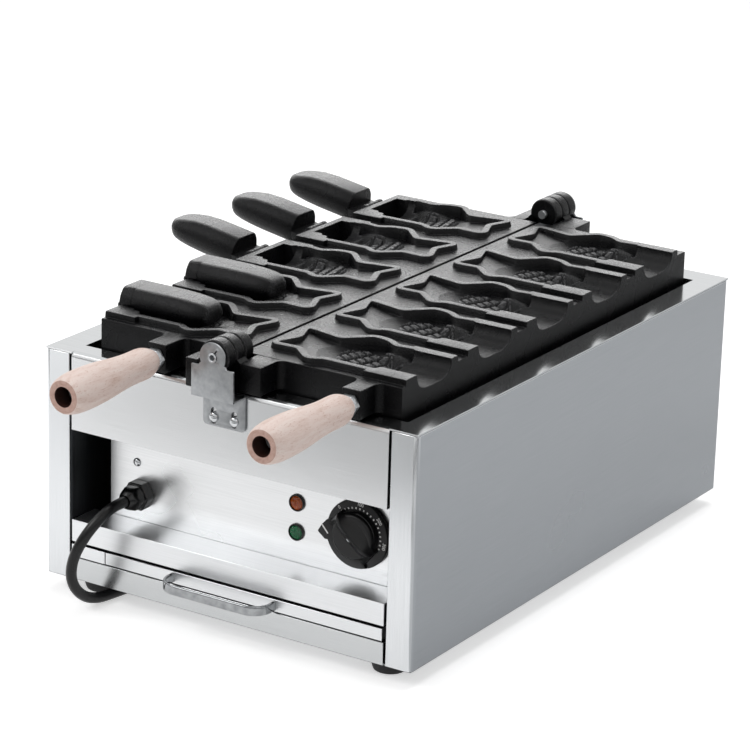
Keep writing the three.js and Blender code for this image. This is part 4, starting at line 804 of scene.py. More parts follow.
def castMould(side):
    v = castShape
    name, rim, half = f"{sideNames[side]}_mould", v["rim"], v["cellHalf"]
    flat, heights, triangles, samples = castCell(side)
    bm = bmesh.new()
    for k in range(5):
        mouthY = v["firstMouth"] + k * v["pitch"]
        row = [bm.verts.new(place(side * u, mouthY + w, v["ridge"] + h)) for (u, w), h in zip(flat, heights)]
        for face in triangles:
            bm.faces.new([row[i] for i in face])
    for ys in ([v["firstMouth"] - half, v["front"] + rim, v["front"]],
               [v["firstMouth"] + 9 * half, v["back"] - rim, v["back"]]):
        rows = []
        for y in ys:
            drops = [rim if y == ys[2] or u in (samples[0], samples[-1]) else 0 for u in samples]
            rows.append([bm.verts.new(place(side * u, y, v["plate"] - d)) for u, d in zip(samples, drops)])
        skin(bm, rows, around=False)
    bmesh.ops.remove_doubles(bm, verts=bm.verts, dist=2e-5)
    hollowUnderside(bm, side)
    # Boss for the handle's bolt
    x, wide = v["handleX"][side], v["bossHalf"]
    addBlock(bm, (x - wide, x + wide), (v["bossFront"], v["front"] + 1), (v["bossLow"], v["plate"]), 1.2)
    for way in (-1, 1):
        cornerFillet(bm, x + way * 9.4, v["front"] + 0.1, way, -1, 7, v["bossLow"] + 0.4, v["plate"] - 0.15)
    if side < 0:
        for y in (v["firstMouth"] + k * v["pitch"] + at for k in range(5) for at in (-lug["at"], lug["at"])):
            ends = y - lug["half"], y + lug["half"]
            addBlock(bm, lug["x"], ends, lug["z"], 0.5)
            start, stop = ((lug["x"][0], end, lug["pinHeight"]) for end in ends)
            addRod(bm, start, stop, lug["radius"], 20, 0.4)
    piece = finishedPiece(name + "_casting", bm, castCoat, f"{sideNames[side]}_half", (name,), 28)


def addBlock(bm, xs, ys, zs, edge=0, at=place):
    made = bmesh.ops.create_cube(bm, size=1)["verts"]
    for vert in made:
        vert.co = at(xs[vert.co.x > 0], ys[vert.co.y > 0], zs[vert.co.z > 0])
    if edge:
        edges = {e for vert in made for e in vert.link_edges}
        bmesh.ops.bevel(bm, geom=list(edges), offset=edge * mm, segments=3, profile=0.5, affect="EDGES")


def cornerFillet(bm, x, y, outX, outY, radius, low, high):
    # The hollow cast curve in the corner between a wall along x and a block that stands out from it
    plan = [(x - outX * 0.6, y - outY * 0.6), (x - outX * 0.6, y + outY * radius)]
    plan += [(x + outX * radius * (1 - math.cos(a)), y + outY * radius * (1 - math.sin(a)))
             for a in np.linspace(0, math.pi / 2, 9)]
    plan.append((x + outX * radius, y - outY * 0.6))
    loft(bm, [[place(*p, z) for p in plan] for z in (low, high)])


def addRod(bm, start, end, radius, sides, edge):
    # A round bar between two points of the case's own coordinates, its rims rounded off
    start, end = place(*start), place(*end)
    ahead = (end - start).normalized()
    side = ahead.orthogonal().normalized()
    up = ahead.cross(side)
    span = (end - start).length / mm
    rims = [(0, edge), (edge * 0.3, edge * 0.3), (edge, 0)]
    rims += [(span - at, inset) for at, inset in reversed(rims)]
    loft(bm, [[start + ahead * at * mm + (side * math.cos(a) + up * math.sin(a)) * (radius - inset) * mm
               for a in angles(sides)] for at, inset in rims])


castMould(-1)
castMould(1)

print("mouth plugs")
plugShape = {
    "x": -158, "z": 260.6, "drop": 3.9, "length": 94, "half": 21, "flat": 14, "rise": 14.5, "shoulder": 0.75,
    "heel": 15, "step": 2, "ledge": 0.5, "round": 2.3, "knuckle": 3.6, "knuckleHalf": 8, "pin": 1.8,
    "pinHalf": 14.6, "foldedIn": 2, "folded": 170,
}
plugSections = [  # along it, half width, rise above and fall below the parting face
    (0.55, 0.99, 1, 0.99), (0.72, 0.965, 0.965, 0.9), (0.84, 0.925, 0.9, 0.72), (0.91, 0.85, 0.83, 0.59),
    (0.95, 0.745, 0.75, 0.49), (0.98, 0.60, 0.65, 0.4), (0.995, 0.44, 0.52, 0.3), (1, 0.3, 0.42, 0.24),
]


def plugSection(half, rise, fall):
    # One cross-section with rounded shoulders: the parting face's corners stay sharp
    v = plugShape
    flat, side = v["flat"] * half, v["half"] * half
    bevel = flat + (side - flat) * v["shoulder"]
    out = []
    for share, sign in ((rise, 1), (fall, -1)):
        top = v["rise"] * share
        corners = [(side, 0), (bevel, top / 2), (flat, top), (-flat, top), (-bevel, top / 2), (-side, 0)]
        path = [corners[0]]
        for k in range(1, 5):
            path += rounding(*corners[k - 1:k + 2], v["round"] * (1.5 if k in (2, 3) else 1.2), 0.45, 4)
        path.append(corners[-1])
        out.append([(y, v["drop"] + sign * z) for y, z in path])
    upper, lower = out
    return upper + lower[::-1][1:-1]


def local(x, y, z):
    return Vector((x, y, z)) * mm


def mouthPlug(number):
    v = plugShape
    mouthY = castShape["firstMouth"] + (number - 1) * castShape["pitch"]
    angle = 0 if number <= v["foldedIn"] else math.radians(v["folded"])
    bm = bmesh.new()
    # Over the hinge only the upper half runs on, a little above the parting face
    ledge, heel, step = v["drop"] + v["ledge"], v["heel"] / v["length"], v["step"] / v["length"]
    stations = [(step, 0.94, 0.95, 0), (step + 0.006, 0.985, 0.985, 0), (step + 0.016, 1, 1, 0),
                (heel - 0.001, 1, 1, 0), (heel, 0.985, 1, 0.98), (heel + 0.008, 1, 1, 1)]
    rows = []
    for a, half, rise, fall in stations + plugSections:
        section = plugSection(half, rise, fall or rise)
        if not fall:
            section = [(y, max(z, ledge)) for y, z in section]
        rows.append([local(a * v["length"], y, z) for y, z in section])
    loft(bm, rows)
    for half, radius in ((v["knuckleHalf"], v["knuckle"]), (v["pinHalf"], v["pin"])):
        rims = ((-half, 0.88), (-half + 0.35, 1), (half - 0.35, 1), (half, 0.88))
        loft(bm, [[local(math.cos(a) * radius * share, y, math.sin(a) * radius * share) for a in angles(24)]
                  for y, share in rims])
    addBlock(bm, (-2.52, 5.5), (-v["knuckleHalf"], v["knuckleHalf"]), (0, 4.7), at=local)
    at = Matrix.Translation(place(v["x"], mouthY, v["z"])) @ Matrix.Rotation(-angle, 4, "Y")
    bmesh.ops.transform(bm, matrix=at, verts=bm.verts)
    piece = finishedPiece(f"mouth_plug_body_{number}", bm, castCoat, f"plug_{number}",
                          (f"mouth_plug_{number}",), 40)


for number in range(1, 6):
    mouthPlug(number)

print("hinge arms")
hingeShape = {
    "z": 264.75, "radius": 15, "bore": 4.5, "round": 1.8, "low": 233, "lugInner": 16.5,
    "lugReach": {-1: 30, 1: 39}, "plateStart": {-1: 256.3, 1: 249.3}, "fillet": 7,
    "rings": {-1: [(286.0, 298.2), (260.0, 272.2)], 1: [(273.0, 285.2)]},
    "lugOuter": {-1: 298.2, 1: 285.2},
}


def roundedRing(bm, low, high):
    # A knuckle: a ring with well rounded rims round its bore, along the row's y
    v = hingeShape
    profile = [(v["bore"], low)]
    profile += [(v["radius"] - v["round"] * (1 - math.sin(a)), low + v["round"] * (1 - math.cos(a)))
                for a in np.linspace(0, math.pi / 2, 7)]
    profile += [(r, low + high - y) for r, y in reversed(profile)]
    turned(bm, profile, lambda s, c, y: place(s, y, v["z"] + c), 48)


def hingeArm(side, end):
    v = hingeShape
    name = f"{sideNames[side]}_arm_{endNames[end]}"
    reach, inner, low, top = v["lugReach"][side], v["lugInner"], v["low"], castShape["plate"]
    web = [(2, low), (inner + 1, low), (inner + 1, 259), (14.2, 262), (7, 259), (5.5, 252), (2, 250.4)]
    bm = bmesh.new()
    for ys in v["rings"][side]:
        y0, y1 = sorted(end * y for y in ys)
        roundedRing(bm, y0, y1)
        # The web that joins the ring to the lug
        loft(bm, [[place(side * u, y, z) for u, z in web] for y in (y0, y1)])
    y0, y1 = sorted((end * v["plateStart"][end], end * v["lugOuter"][side]))
    profile = [(inner, low), (reach - 1, low), (reach, low + 1), (reach, top - 1.2),
               (reach - 0.35, top - 0.35), (reach - 1.2, top), (inner, top)]
    rims = [(y0, 0.8), (y0 + 0.25, 0.25), (y0 + 0.8, 0), (y1 - 0.8, 0), (y1 - 0.25, 0.25), (y1, 0.8)]
    loft(bm, [[place(side * (min(u, reach - inset) if u > inner else u), y,
                     min(max(z, low + inset), top - inset)) for u, z in profile] for y, inset in rims])
    wallY = castShape["front"] if end < 0 else castShape["back"]
    cornerFillet(bm, side * (reach - 0.1), wallY, side, end, v["fillet"], low + 0.5, top - 0.15)
    piece = finishedPiece(name + "_casting", bm, castCoat, f"{sideNames[side]}_half", (name,), 35)


for side in (-1, 1):
    for end in (-1, 1):
        hingeArm(side, end)

print("handles")
gripShape = {"z": 246, "start": -291.6, "radius": 18.6, "length": 124, "bore": 8.9, "depth": 22, "bolt": 3.4,
             "lead": 0.6}
gripShares = [
    (0.47, 0), (0.52, 0.006), (0.575, 0.022), (0.64, 0.045), (0.7, 0.07), (0.742, 0.095), (0.762, 0.13),
    (0.762, 0.18), (0.757, 0.24), (0.767, 0.30), (0.79, 0.36), (0.825, 0.42), (0.865, 0.48), (0.905, 0.54),
    (0.94, 0.60), (0.965, 0.67), (0.98, 0.74), (0.985, 0.80), (0.98, 0.85), (0.963, 0.89), (0.935, 0.925),
    (0.9, 0.953), (0.86, 0.975), (0.822, 0.989), (0.792, 0.996), (0.775, 0.9985), (0.745, 1),
]


def turnedGrip(word, x):
    # The wood's outside, its faced end and its bore, darkened as painted shade, are three materials of one
    # turned piece
    v = gripShape
    outer = [(r * v["radius"], t * v["length"]) for r, t in gripShares]
    end, lead, bore, floor = v["length"], v["lead"], v["bore"], v["length"] - v["depth"]
    inner = [(bore + lead, end), (bore + lead * 0.3, end - lead * 0.3), (bore, end - lead), (bore, floor),
             (v["bolt"], floor), (v["bolt"], 0)]
    bm = bmesh.new()
    turned(bm, outer + inner, lambda s, c, t: place(x + s, v["start"] - t, v["z"] + c), 56)
    for n, face in enumerate(bm.faces):
        ring = n % len(outer + inner)
        face.material_index = 2 if ring > len(outer) else 1 if ring >= len(outer) - 2 else 0
    grip = finishedPiece(f"turned_grip_{word}", bm, beech, f"{word}_half", (f"grip_{word}",), 42)
    grip.data.materials.append(beechEnd)
    grip.data.materials.append(boreShade)


for side, x in castShape["handleX"].items():
    turnedGrip(sideNames[side], x)

print("sheet metal")
sheetEdges = {
    "side_panel_left": 0.6, "side_panel_right": 0.6, "top_deck": 0.5, "control_panel": 0.3,
    "recess_wall_left": 0.4, "sill": 0.5, "bottom_rail": 0.5, "drawer_runner_left": 0.5, "rear_panel": 0.4,
    "crumb_drawer": 0.5,
}
frontFinish = {"top_deck": stainlessApron, "side_panel_left": stainlessStile,
               "side_panel_right": stainlessStile}


def softened(name, body, width):
    # The CAD sheet with its edges rounded, so that they catch the light as deburred steel does
    bm = bmesh.new()
    bm.from_mesh(nodes[name].data)
    bmesh.ops.remove_doubles(bm, verts=bm.verts, dist=1e-5)
    bmesh.ops.dissolve_limit(bm, angle_limit=math.radians(1), verts=bm.verts, edges=bm.edges)
    sharp = [e for e in bm.edges if len(e.link_faces) == 2 and e.calc_face_angle(0) > math.radians(30)]
    bmesh.ops.bevel(bm, geom=sharp, offset=width * mm, segments=2, profile=0.5, affect="EDGES",
                    clamp_overlap=True)
    bmesh.ops.triangulate(bm, faces=bm.faces)
    bm.normal_update()
    for face in bm.faces:
        # Faces that look down take the dark sheet as painted shade; faces towards the front take the front
        # finish
        face.material_index = 1 if face.normal.z < -0.3 else 2 if face.normal.y < -0.7 else 0
    mesh = bpy.data.meshes.new(name + "_sheet")
    bm.to_mesh(mesh)
    bm.free()
    dressed(name + "_sheet", mesh, finishOf(name), body, (name,), 50)
    for face in mesh.polygons:
        face.use_smooth = max(abs(c) for c in face.normal) < 0.9999
    mesh.materials.append(paintedShadeSheet)  # down-facing faces take the dark sheet: a painted shade line under each edge
    mesh.materials.append(frontFinish.get(name, finishOf(name)))


for name, width in sheetEdges.items():
    softened(name, "drawer" if name == "crumb_drawer" else "case", width)


def orientedLoop(loop, left):
    area = sum(a[0] * b[1] - b[0] * a[1] for a, b in zip(loop, loop[1:] + loop[:1]))
    return loop if (area > 0) == left else loop[::-1]


def insetLoop(loop, distance):
    # Each corner moved to the left of the way round, into the material
    out = []
    for k, p in enumerate(loop):
        p, a, b = (np.array(q, float) for q in (p, loop[k - 1], loop[(k + 1) % len(loop)]))
        first, second = (p - a) / np.linalg.norm(p - a), (b - p) / np.linalg.norm(b - p)
        normalA, normalB = np.array([-first[1], first[0]]), np.array([-second[1], second[0]])
        out.append(tuple(p + (normalA + normalB) * distance / max(1 + normalA @ normalB, 0.3)))
    return out


def slab(bm, outline, holes, at, low, high, edge=0.4):
    # A plate cut to an outline with holes in it, its rims rounded; at() gives a point's place
    outline = [p for n, p in enumerate(outline) if math.dist(p, outline[n - 1]) > 0.05]
    loops = [orientedLoop(outline, True)] + [orientedLoop(list(h), False) for h in holes]
    levels = [(low, edge), (low + edge * 0.3, edge * 0.3), (low + edge, 0),
              (high - edge, 0), (high - edge * 0.3, edge * 0.3), (high, edge)]
    walls, flat, edges = [], [], []
    for loop in loops:
        walls.append([[bm.verts.new(at(*p, z)) for p in insetLoop(loop, inset)] for z, inset in levels])
        skin(bm, walls[-1])
        start = len(flat)
        flat += insetLoop(loop, edge)
        edges += [(start + n, start + (n + 1) % len(loop)) for n in range(len(loop))]
    found = delaunay_2d_cdt([Vector(p) for p in flat], edges, [], 1, 1e-6)
    source = [s[0] for s in found[3]]
    for level, flip in ((0, True), (-1, False)):
        verts = [v for wall in walls for v in wall[level]]
        for face in found[2]:
            middle = sum((found[0][i] for i in face), Vector((0, 0))) / len(face)
            if any(distanceTo(np.array(h, float), [middle])[0] < 0 for h in holes):
                continue
            corners = [verts[source[i]] for i in face]
            bm.faces.new(corners[::-1] if flip else corners)


def arcPoints(x, z, radius, start, end, steps):
    return [(x + radius * math.cos(a), z + radius * math.sin(a))
            for a in np.linspace(math.radians(start), math.radians(end), steps)]


bracketShape = {
    "half": 22, "low": 227, "shoulder": 256, "ear": 13.3, "pin": 4.5, "step": 228.9, "foot": 196,
    "slotX": 10.75, "slotZ": 205.5, "slotRise": 4.5, "slotHalf": 2.9, "corner": 4, "earY": (299, 301),
    "stepY": (281.2, 300.9), "footY": (280.8, 282.8),
}


def hingeBracket(end):
    # Folded from one strip: an upright with a round ear, a step back and a slotted plate screwed to the case
    v = bracketShape
    half, shoulder, ear, z = v["half"], v["shoulder"], v["ear"], hingeShape["z"]
    bm = bmesh.new()

    def upright(x, h, y):
        return place(x, end * y, h)

    neck = math.degrees(math.asin((shoulder + 3 - z) / ear))
    outline = [(-half, v["low"] + 0.3), (half, v["low"] + 0.3), (half, shoulder - 1)]
    outline += arcPoints(half - 1, shoulder - 1, 1, 0, 90, 4) + [(ear + 3, shoulder)]
    outline += arcPoints(ear + 2.3, shoulder + 2.6, 2.5, 270, 190, 6)
    outline += arcPoints(0, z, ear, neck, 180 - neck, 32)
    outline += arcPoints(-ear - 2.3, shoulder + 2.6, 2.5, 350, 270, 6)
    outline += [(-ear - 3, shoulder)] + arcPoints(-half + 1, shoulder - 1, 1, 90, 180, 4)
    slab(bm, outline, [arcPoints(0, z, v["pin"], 0, 345, 24)], upright, *v["earY"], 0.3)
    step = rectangle(-half, half, *v["stepY"])
    slab(bm, step, [], lambda x, y, h: place(x, end * y, h), v["low"], v["step"])
    corner = v["corner"]
    foot = arcPoints(-half + corner, v["foot"] + corner, corner, 180, 270, 7)
    foot += arcPoints(half - corner, v["foot"] + corner, corner, 270, 360, 7)
    foot += [(half, v["step"] - 0.2), (-half, v["step"] - 0.2)]
    top, low = v["slotZ"] + v["slotRise"], v["slotZ"] - v["slotRise"]
    slots = [arcPoints(x, top, v["slotHalf"], 0, 180, 9) + arcPoints(x, low, v["slotHalf"], 180, 360, 9)
             for x in (-v["slotX"], v["slotX"])]
    slab(bm, foot, slots, upright, *v["footY"], 0.3)
    name = endNames[end]
    finishedPiece(f"folded_bracket_{name}", bm, bracketZinc, "case", (f"hinge_bracket_{name}",), 40)


def hingePin(end):
    # The pin's outer end is drilled and rolled over, as a hollow rivet is
    name = endNames[end]
    lo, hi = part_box(f"hinge_pin_{name}")
    inner, outer = sorted(abs(corner.y - caseMiddle.y) / mm for corner in (lo, hi))
    rim = [(4.2, 0.9), (4.45, 0.75), (4.45, 0.35), (4.1, 0), (3.5, 0.05), (2.6, 0.5), (2.3, 1.2), (2.3, 6),
           (0, 6.6)]
    profile = [(0, inner), (4.0, inner), (4.2, inner + 0.3)] + [(r, outer - back) for r, back in rim]
    bm = bmesh.new()
    turned(bm, profile, lambda s, c, y: place(s, end * y, hingeShape["z"] + c), 32, ring=False)
    finishedPiece(f"rolled_pin_{name}", bm, zincSteel, "case", (f"hinge_pin_{name}",), 40)


for made in (hingeBracket, hingePin):
    for end in (-1, 1):
        made(end)

print("handle nuts and bolts")
boltShape = {"radius": 4, "boss": 18, "head": 13, "headLength": 6, "headStart": 102.3, "socket": 2.6,
             "core": 2.7, "coreDepth": 1.6, "nutStart": -284.3, "nutLength": 7, "nutAcross": 17}


def hexReach(across, a):
    # How far the side of a hexagon is from its middle in a direction
    return across / 2 / math.cos((a + math.pi / 6) % (math.pi / 3) - math.pi / 6)


def hexNut(bm, x, z, start, length, across, bore):
    # A hex nut along the row's y with the round chamfer that cuts its corners
    rows = []
    for t, kind in ((0, 0), (0, 1), (length * 0.12, 2), (length * 0.88, 2), (length, 1), (length, 0)):
        row = []
        for a in angles(48):
            r = (bore, min(hexReach(across, a), across / 2 * 0.97), hexReach(across, a))[kind]
            row.append(bm.verts.new(place(x + r * math.sin(a), start - t, z + r * math.cos(a))))
        rows.append(row)
    skin(bm, rows, closed=True)


for side, x in castShape["handleX"].items():
    v, word, z = boltShape, sideNames[side], gripShape["z"]
    bm = bmesh.new()
    hexNut(bm, x, z, v["nutStart"], v["nutLength"], v["nutAcross"], v["radius"] + 0.3)
    finishedPiece(f"hex_nut_{word}", bm, zincSteel, f"{word}_half", (f"handle_nut_{word}",), 25)
    bm = bmesh.new()
    head = gripShape["start"] - v["headStart"]
    addRod(bm, (x, head - 0.5, z), (x, castShape["bossFront"] + v["boss"], z), v["radius"], 32, 0.4)
    hexNut(bm, x, z, head, v["headLength"], v["head"], v["socket"])
    addRod(bm, (x, head - 0.4, z), (x, head - v["headLength"] + v["coreDepth"], z), v["core"], 24, 0.2)
    finishedPiece(f"handle_screw_{word}", bm, zincSteel, f"{word}_half", (f"handle_bolt_{word}",), 25)

print("drawer pull")
pullShape = {"half": 56, "reach": 25, "bend": 17, "high": 9, "thick": 3, "z": 43.75, "back": -280.8}


def drawerPull():
    # A chromed strap bent to a U, its section rounded like a flattened wire
    v = pullShape
    depth = v["reach"] - v["thick"] / 2
    left, bend = -v["half"] + v["thick"] / 2, v["bend"]
    path = [(left, 0)]
    path += [(left + bend - bend * math.cos(a), depth - bend + bend * math.sin(a))
             for a in np.linspace(0, math.pi / 2, 14)]
    path += [(-x, d) for x, d in reversed(path)]
    section = []
    for a in angles(20):
        c, s = math.cos(a), math.sin(a)
        section.append((math.copysign(abs(c) ** 0.55, c) * v["thick"] / 2,
                        math.copysign(abs(s) ** 0.45, s) * v["high"] / 2))
    rows = []
    for k, (x, d) in enumerate(path):
        a, b = path[max(k - 1, 0)], path[min(k + 1, len(path) - 1)]
        span = math.dist(a, b)
        sideX, sideD = (a[1] - b[1]) / span, (b[0] - a[0]) / span
        rows.append([place(x + sideX * s, v["back"] - d - sideD * s, v["z"] + h) for s, h in section])
    bm = bmesh.new()
    loft(bm, rows)
    finishedPiece("chromed_pull", bm, pullSteelShaded, "drawer", ("drawer_handle",), 40)


drawerPull()

print("screws")


def crossScrewTree():
    # Pan heads with a cross recess, one on each point, each turned by chance
    tree = bpy.data.node_groups.new("cross head screws", "GeometryNodeTree")
    for label, way, kind in (("Geometry", "OUTPUT", "Geometry"), ("Geometry", "INPUT", "Geometry"),
                             ("Head Radius", "INPUT", "Float"), ("Head Rise", "INPUT", "Float"),
                             ("Facing", "INPUT", "Vector"), ("Seed", "INPUT", "Int"),
                             ("Finish", "INPUT", "Material")):
        tree.interface.new_socket(label, in_out=way, socket_type="NodeSocket" + kind)

    def node(kind, settings=None, **links):
        links = {key.replace("_", " "): source for key, source in links.items()}
        return addNode(tree, kind, settings, links).outputs

    def product(source, factor):
        return addNode(tree, "ShaderNodeMath", {"operation": "MULTIPLY", 1: factor}, {0: source}).outputs[0]

    given = node("NodeGroupInput")
    radius, rise = given["Head Radius"], given["Head Rise"]
    ball = node("GeometryNodeMeshUVSphere", {"Segments": 32, "Rings": 17}, Radius=radius)["Mesh"]
    squash = addNode(tree, "ShaderNodeMath", {"operation": "DIVIDE"}, {0: rise, 1: radius}).outputs[0]
    flat = node("ShaderNodeCombineXYZ", {"X": 1.0, "Y": 1.0}, Z=squash)[0]
    dome = node("GeometryNodeTransform", Geometry=ball, Scale=flat)["Geometry"]
    bars = addNode(tree, "GeometryNodeJoinGeometry")
    long, narrow, deep = product(radius, 1.1), product(radius, 0.24), product(rise, 1.3)
    up = node("ShaderNodeCombineXYZ", Z=product(rise, 1.1))[0]
    for x, y in ((long, narrow), (narrow, long)):
        bar = node("GeometryNodeMeshCube", Size=node("ShaderNodeCombineXYZ", X=x, Y=y, Z=deep)[0])["Mesh"]
        lifted = node("GeometryNodeTransform", Geometry=bar, Translation=up)["Geometry"]
        tree.links.new(lifted, bars.inputs["Geometry"])
    cut = node("GeometryNodeMeshBoolean", {"operation": "DIFFERENCE"}, Mesh_1=dome,
               Mesh_2=bars.outputs["Geometry"])["Mesh"]
    aimed = node("FunctionNodeAlignRotationToVector", {"axis": "Z"}, Vector=given["Facing"])["Rotation"]
    chance = node("FunctionNodeRandomValue", {"data_type": "FLOAT", 2: 0.0, 3: math.pi / 2},
                  Seed=given["Seed"])[1]
    spin = node("FunctionNodeAxisAngleToRotation", {"Axis": (0, 0, 1)}, Angle=chance)["Rotation"]
    rotation = node("FunctionNodeRotateRotation", {"rotation_space": "LOCAL"}, Rotation=aimed,
                    Rotate_By=spin)["Rotation"]
    placed = node("GeometryNodeInstanceOnPoints", Points=given["Geometry"], Instance=cut, Rotation=rotation)
    real = node("GeometryNodeRealizeInstances", Geometry=placed["Instances"])["Geometry"]
    finish = node("GeometryNodeSetMaterial", Geometry=real, Material=given["Finish"])["Geometry"]
    node("NodeGroupOutput", Geometry=finish)
    return tree


screwTree = crossScrewTree()
screwShape = {"x": 10.75, "z": 204, "face": 282.9, "radius": 4.6, "rise": 2.5, "seed": 4,
              "panelAt": (-119, -246.6, 128), "panelRadius": 4, "panelRise": 2.3, "panelSeed": 7}


def screws(name, places, facing, radius, rise, seed, hidden):
    points = bpy.data.meshes.new(name + "_places")
    points.from_pydata([place(*p) for p in places], [], [])
    holder = bpy.data.objects.new(name + "_places", points)
    scene.collection.objects.link(holder)
    modifier = holder.modifiers.new("screws", "NODES")
    modifier.node_group = screwTree
    values = {"Head Radius": radius * mm, "Head Rise": rise * mm, "Facing": facing, "Seed": seed,
              "Finish": chromeSteel}
    for item in screwTree.interface.items_tree:
        if item.in_out == "INPUT" and item.name in values:
            modifier[item.identifier] = values[item.name]
    mesh = bpy.data.meshes.new_from_object(holder.evaluated_get(bpy.context.evaluated_depsgraph_get()))
    holder.modifiers.clear()
    bpy.data.objects.remove(holder)
    dressed(name, mesh, chromeSteel, "case", hidden, 35)


for end, word in endNames.items():
    v = screwShape
    screws(f"bracket_screws_{word}", [(x, end * v["face"], v["z"]) for x in (-v["x"], v["x"])], (0, end, 0),
           v["radius"], v["rise"], v["seed"], (f"bracket_screw_{word}_left", f"bracket_screw_{word}_right"))
screws("panel_cross_screw", [screwShape["panelAt"]], (0, -1, 0), screwShape["panelRadius"],
       screwShape["panelRise"], screwShape["panelSeed"], ("panel_screw",))

print("thermostat knob")
knobShape = {
    "x": 119, "z": 116, "panel": -246.5, "gap": 1.5, "skirt": 31.2, "skirtThick": 4, "dome": 21.5,
    "domeHigh": 9, "gripHalf": 24, "gripHigh": 16, "turn": -41.5, "crest": 4, "wall": 13.5, "tickInner": 23.2,
    "tickOuter": 24.9, "tickHalf": 0.65, "firstTick": 150, "lastTick": -20, "ticks": 19, "firstNumber": 131,
    "numberStep": -47, "numbers": ("0", "100", "200", "300"), "numberSize": 4.4,
    "numberRadius": 28, "ink": 0.07,
}
beakOutline = [(-30.2, 7.6), (-34.8, 2.4), (-38.5, -3.6), (-38.7, -4.6), (-38.2, -5.4), (-31.4, -10.6)]
beakOutline += [(30.4 * math.cos(a), 30.4 * math.sin(a)) for a in np.radians(np.linspace(200, 292, 12))]
beakOutline += [(2, -14), (-12, -4), (-22, 10.5)]
pointerLine = [(-34.7, 1.9), (-28.5, -5.1), (-27.5, -4.2), (-33.7, 2.8)]


def onKnob(a, b, c):
    # Seen face on: a to the right, b up, c towards the eye
    return place(knobShape["x"] + a, knobShape["panel"] - c, knobShape["z"] + b)


def spun(x, y, angle):
    return x * math.cos(angle) - y * math.sin(angle), x * math.sin(angle) + y * math.cos(angle)


def knobBody(back, front):
    v = knobShape
    skirt, dome, crest = v["skirt"], v["dome"], v["crest"]
    bm = bmesh.new()
    profile = [(0, back), (skirt - 0.6, back), (skirt, back + 0.6), (skirt, front - 1.1),
               (skirt - 0.5, front - 0.35), (skirt - 1.5, front), (dome + 1.4, front),
               (dome + 0.5, front + 0.25), (dome + 0.1, front + 1)]
    profile += [(dome - 3.6 + 3.4 * math.cos(t), front + v["domeHigh"] - 4.2 + 4.2 * math.sin(t))
                for t in np.linspace(0, math.pi / 2, 9)]
    profile.append((0, front + v["domeHigh"] + 0.4))
    turned(bm, profile, lambda s, c, t: onKnob(c, s, t), 96, ring=False)
    # The pointer: a beak that points past the skirt, one piece with the low side of the grip
    slab(bm, beakOutline, [], onKnob, back + 0.5, front + 2.2, 0.5)
    # The grip: a fin whose long side falls to the beak, and whose other side is hollowed down to the hub
    rows = []
    for t in np.linspace(-1, 1, 21):
        far = t * v["gripHalf"] * 0.985
        high = v["gripHigh"] * (1 - 0.5 * abs(t) ** 5)
        right = math.sqrt(max((dome + 0.4) ** 2 - far ** 2, 0)) if abs(far) < dome else 0
        right = max(right, crest + 2.5)
        section = [(-v["wall"], -0.2), (-v["wall"], 2.4), (crest - 3.2, high - 1.5),
                   (crest - 2.2, high - 0.5), (crest - 0.9, high), (crest + 0.2, high - 0.3),
                   (crest + 0.9, high - 1.2), ((crest + right) / 2, high * 0.5 + 1.6), (right, 5.4),
                   (right + 0.3, 4.6), (right + 0.3, -0.2)]
        rows.append([onKnob(*spun(far, s, math.radians(v["turn"])), front + h) for s, h in section])
    loft(bm, rows)
    finishedPiece("thermostat_dial", bm, knobPhenolic, "thermostat_knob", ("knob",), 35)


def knobPrint(front):
    # Printed scale: dots round the dome, numbers outside them, and the pointer's line
    v = knobShape
    bm = bmesh.new()
    for a in np.radians(np.linspace(v["firstTick"], v["lastTick"], v["ticks"])):
        tick = rectangle(v["tickInner"], v["tickOuter"], -v["tickHalf"], v["tickHalf"])
        loft(bm, [[onKnob(*spun(r, s, a), front + c) for r, s in tick] for c in (-0.05, 0.08)])
    loft(bm, [[onKnob(x, y, front + c) for x, y in pointerLine] for c in (2.3, 2.5)])
    for n, number in enumerate(v["numbers"]):
        a = math.radians(v["firstNumber"] + n * v["numberStep"])
        writing = bpy.data.curves.new("dial number", "FONT")
        writing.body = number
        writing.size = v["numberSize"] * mm
        writing.align_x = writing.align_y = "CENTER"
        writing.extrude = v["ink"] * mm
        letters = bpy.data.objects.new("dial number", writing)
        scene.collection.objects.link(letters)
        mesh = bpy.data.meshes.new_from_object(letters)
        start = len(bm.verts)
        bm.from_mesh(mesh)
        bm.verts.ensure_lookup_table()
        for vert in bm.verts[start:]:
            # Upright at the scale's top, so each number's own up points away from the dome
            x, y = spun(vert.co.y / mm + v["numberRadius"], -vert.co.x / mm, a)
            vert.co = onKnob(x, y, front + 0.05 + vert.co.z / mm)
        bpy.data.objects.remove(letters)
        bpy.data.meshes.remove(mesh)
    finishedPiece("dial_print", bm, white, "thermostat_knob", (), 30)


skirtFront = knobShape["gap"] + knobShape["skirtThick"]
knobBody(knobShape["gap"], skirtFront)
knobPrint(skirtFront)

print("signal lamps")
lampShape = {"x": 53.5, "z": {"amber": 128.8, "green": 101.5}, "bezel": 7.9, "lens": 6.6, "proud": 3.4,
             "pitch": 1.7, "sides": 48, "deep": 26}


def lampBezel(name, z):
    v = lampShape
    bezel, lens = v["bezel"], v["lens"]
    profile = [(6, v["deep"]), (6, -0.3), (bezel - 0.2, -0.3), (bezel, -0.6), (bezel, -1.5),
               (bezel - 0.35, -2.1), (lens + 0.3, -2.3), (lens - 0.1, -1.6), (lens - 0.1, v["deep"])]
    bm = bmesh.new()
    turned(bm, profile, lambda s, c, t: place(v["x"] + s, knobShape["panel"] + t, z + c), v["sides"])
    finishedPiece(f"lamp_bezel_{name}", bm, bezelBlack, "case", (f"lamp_{name}",), 35)


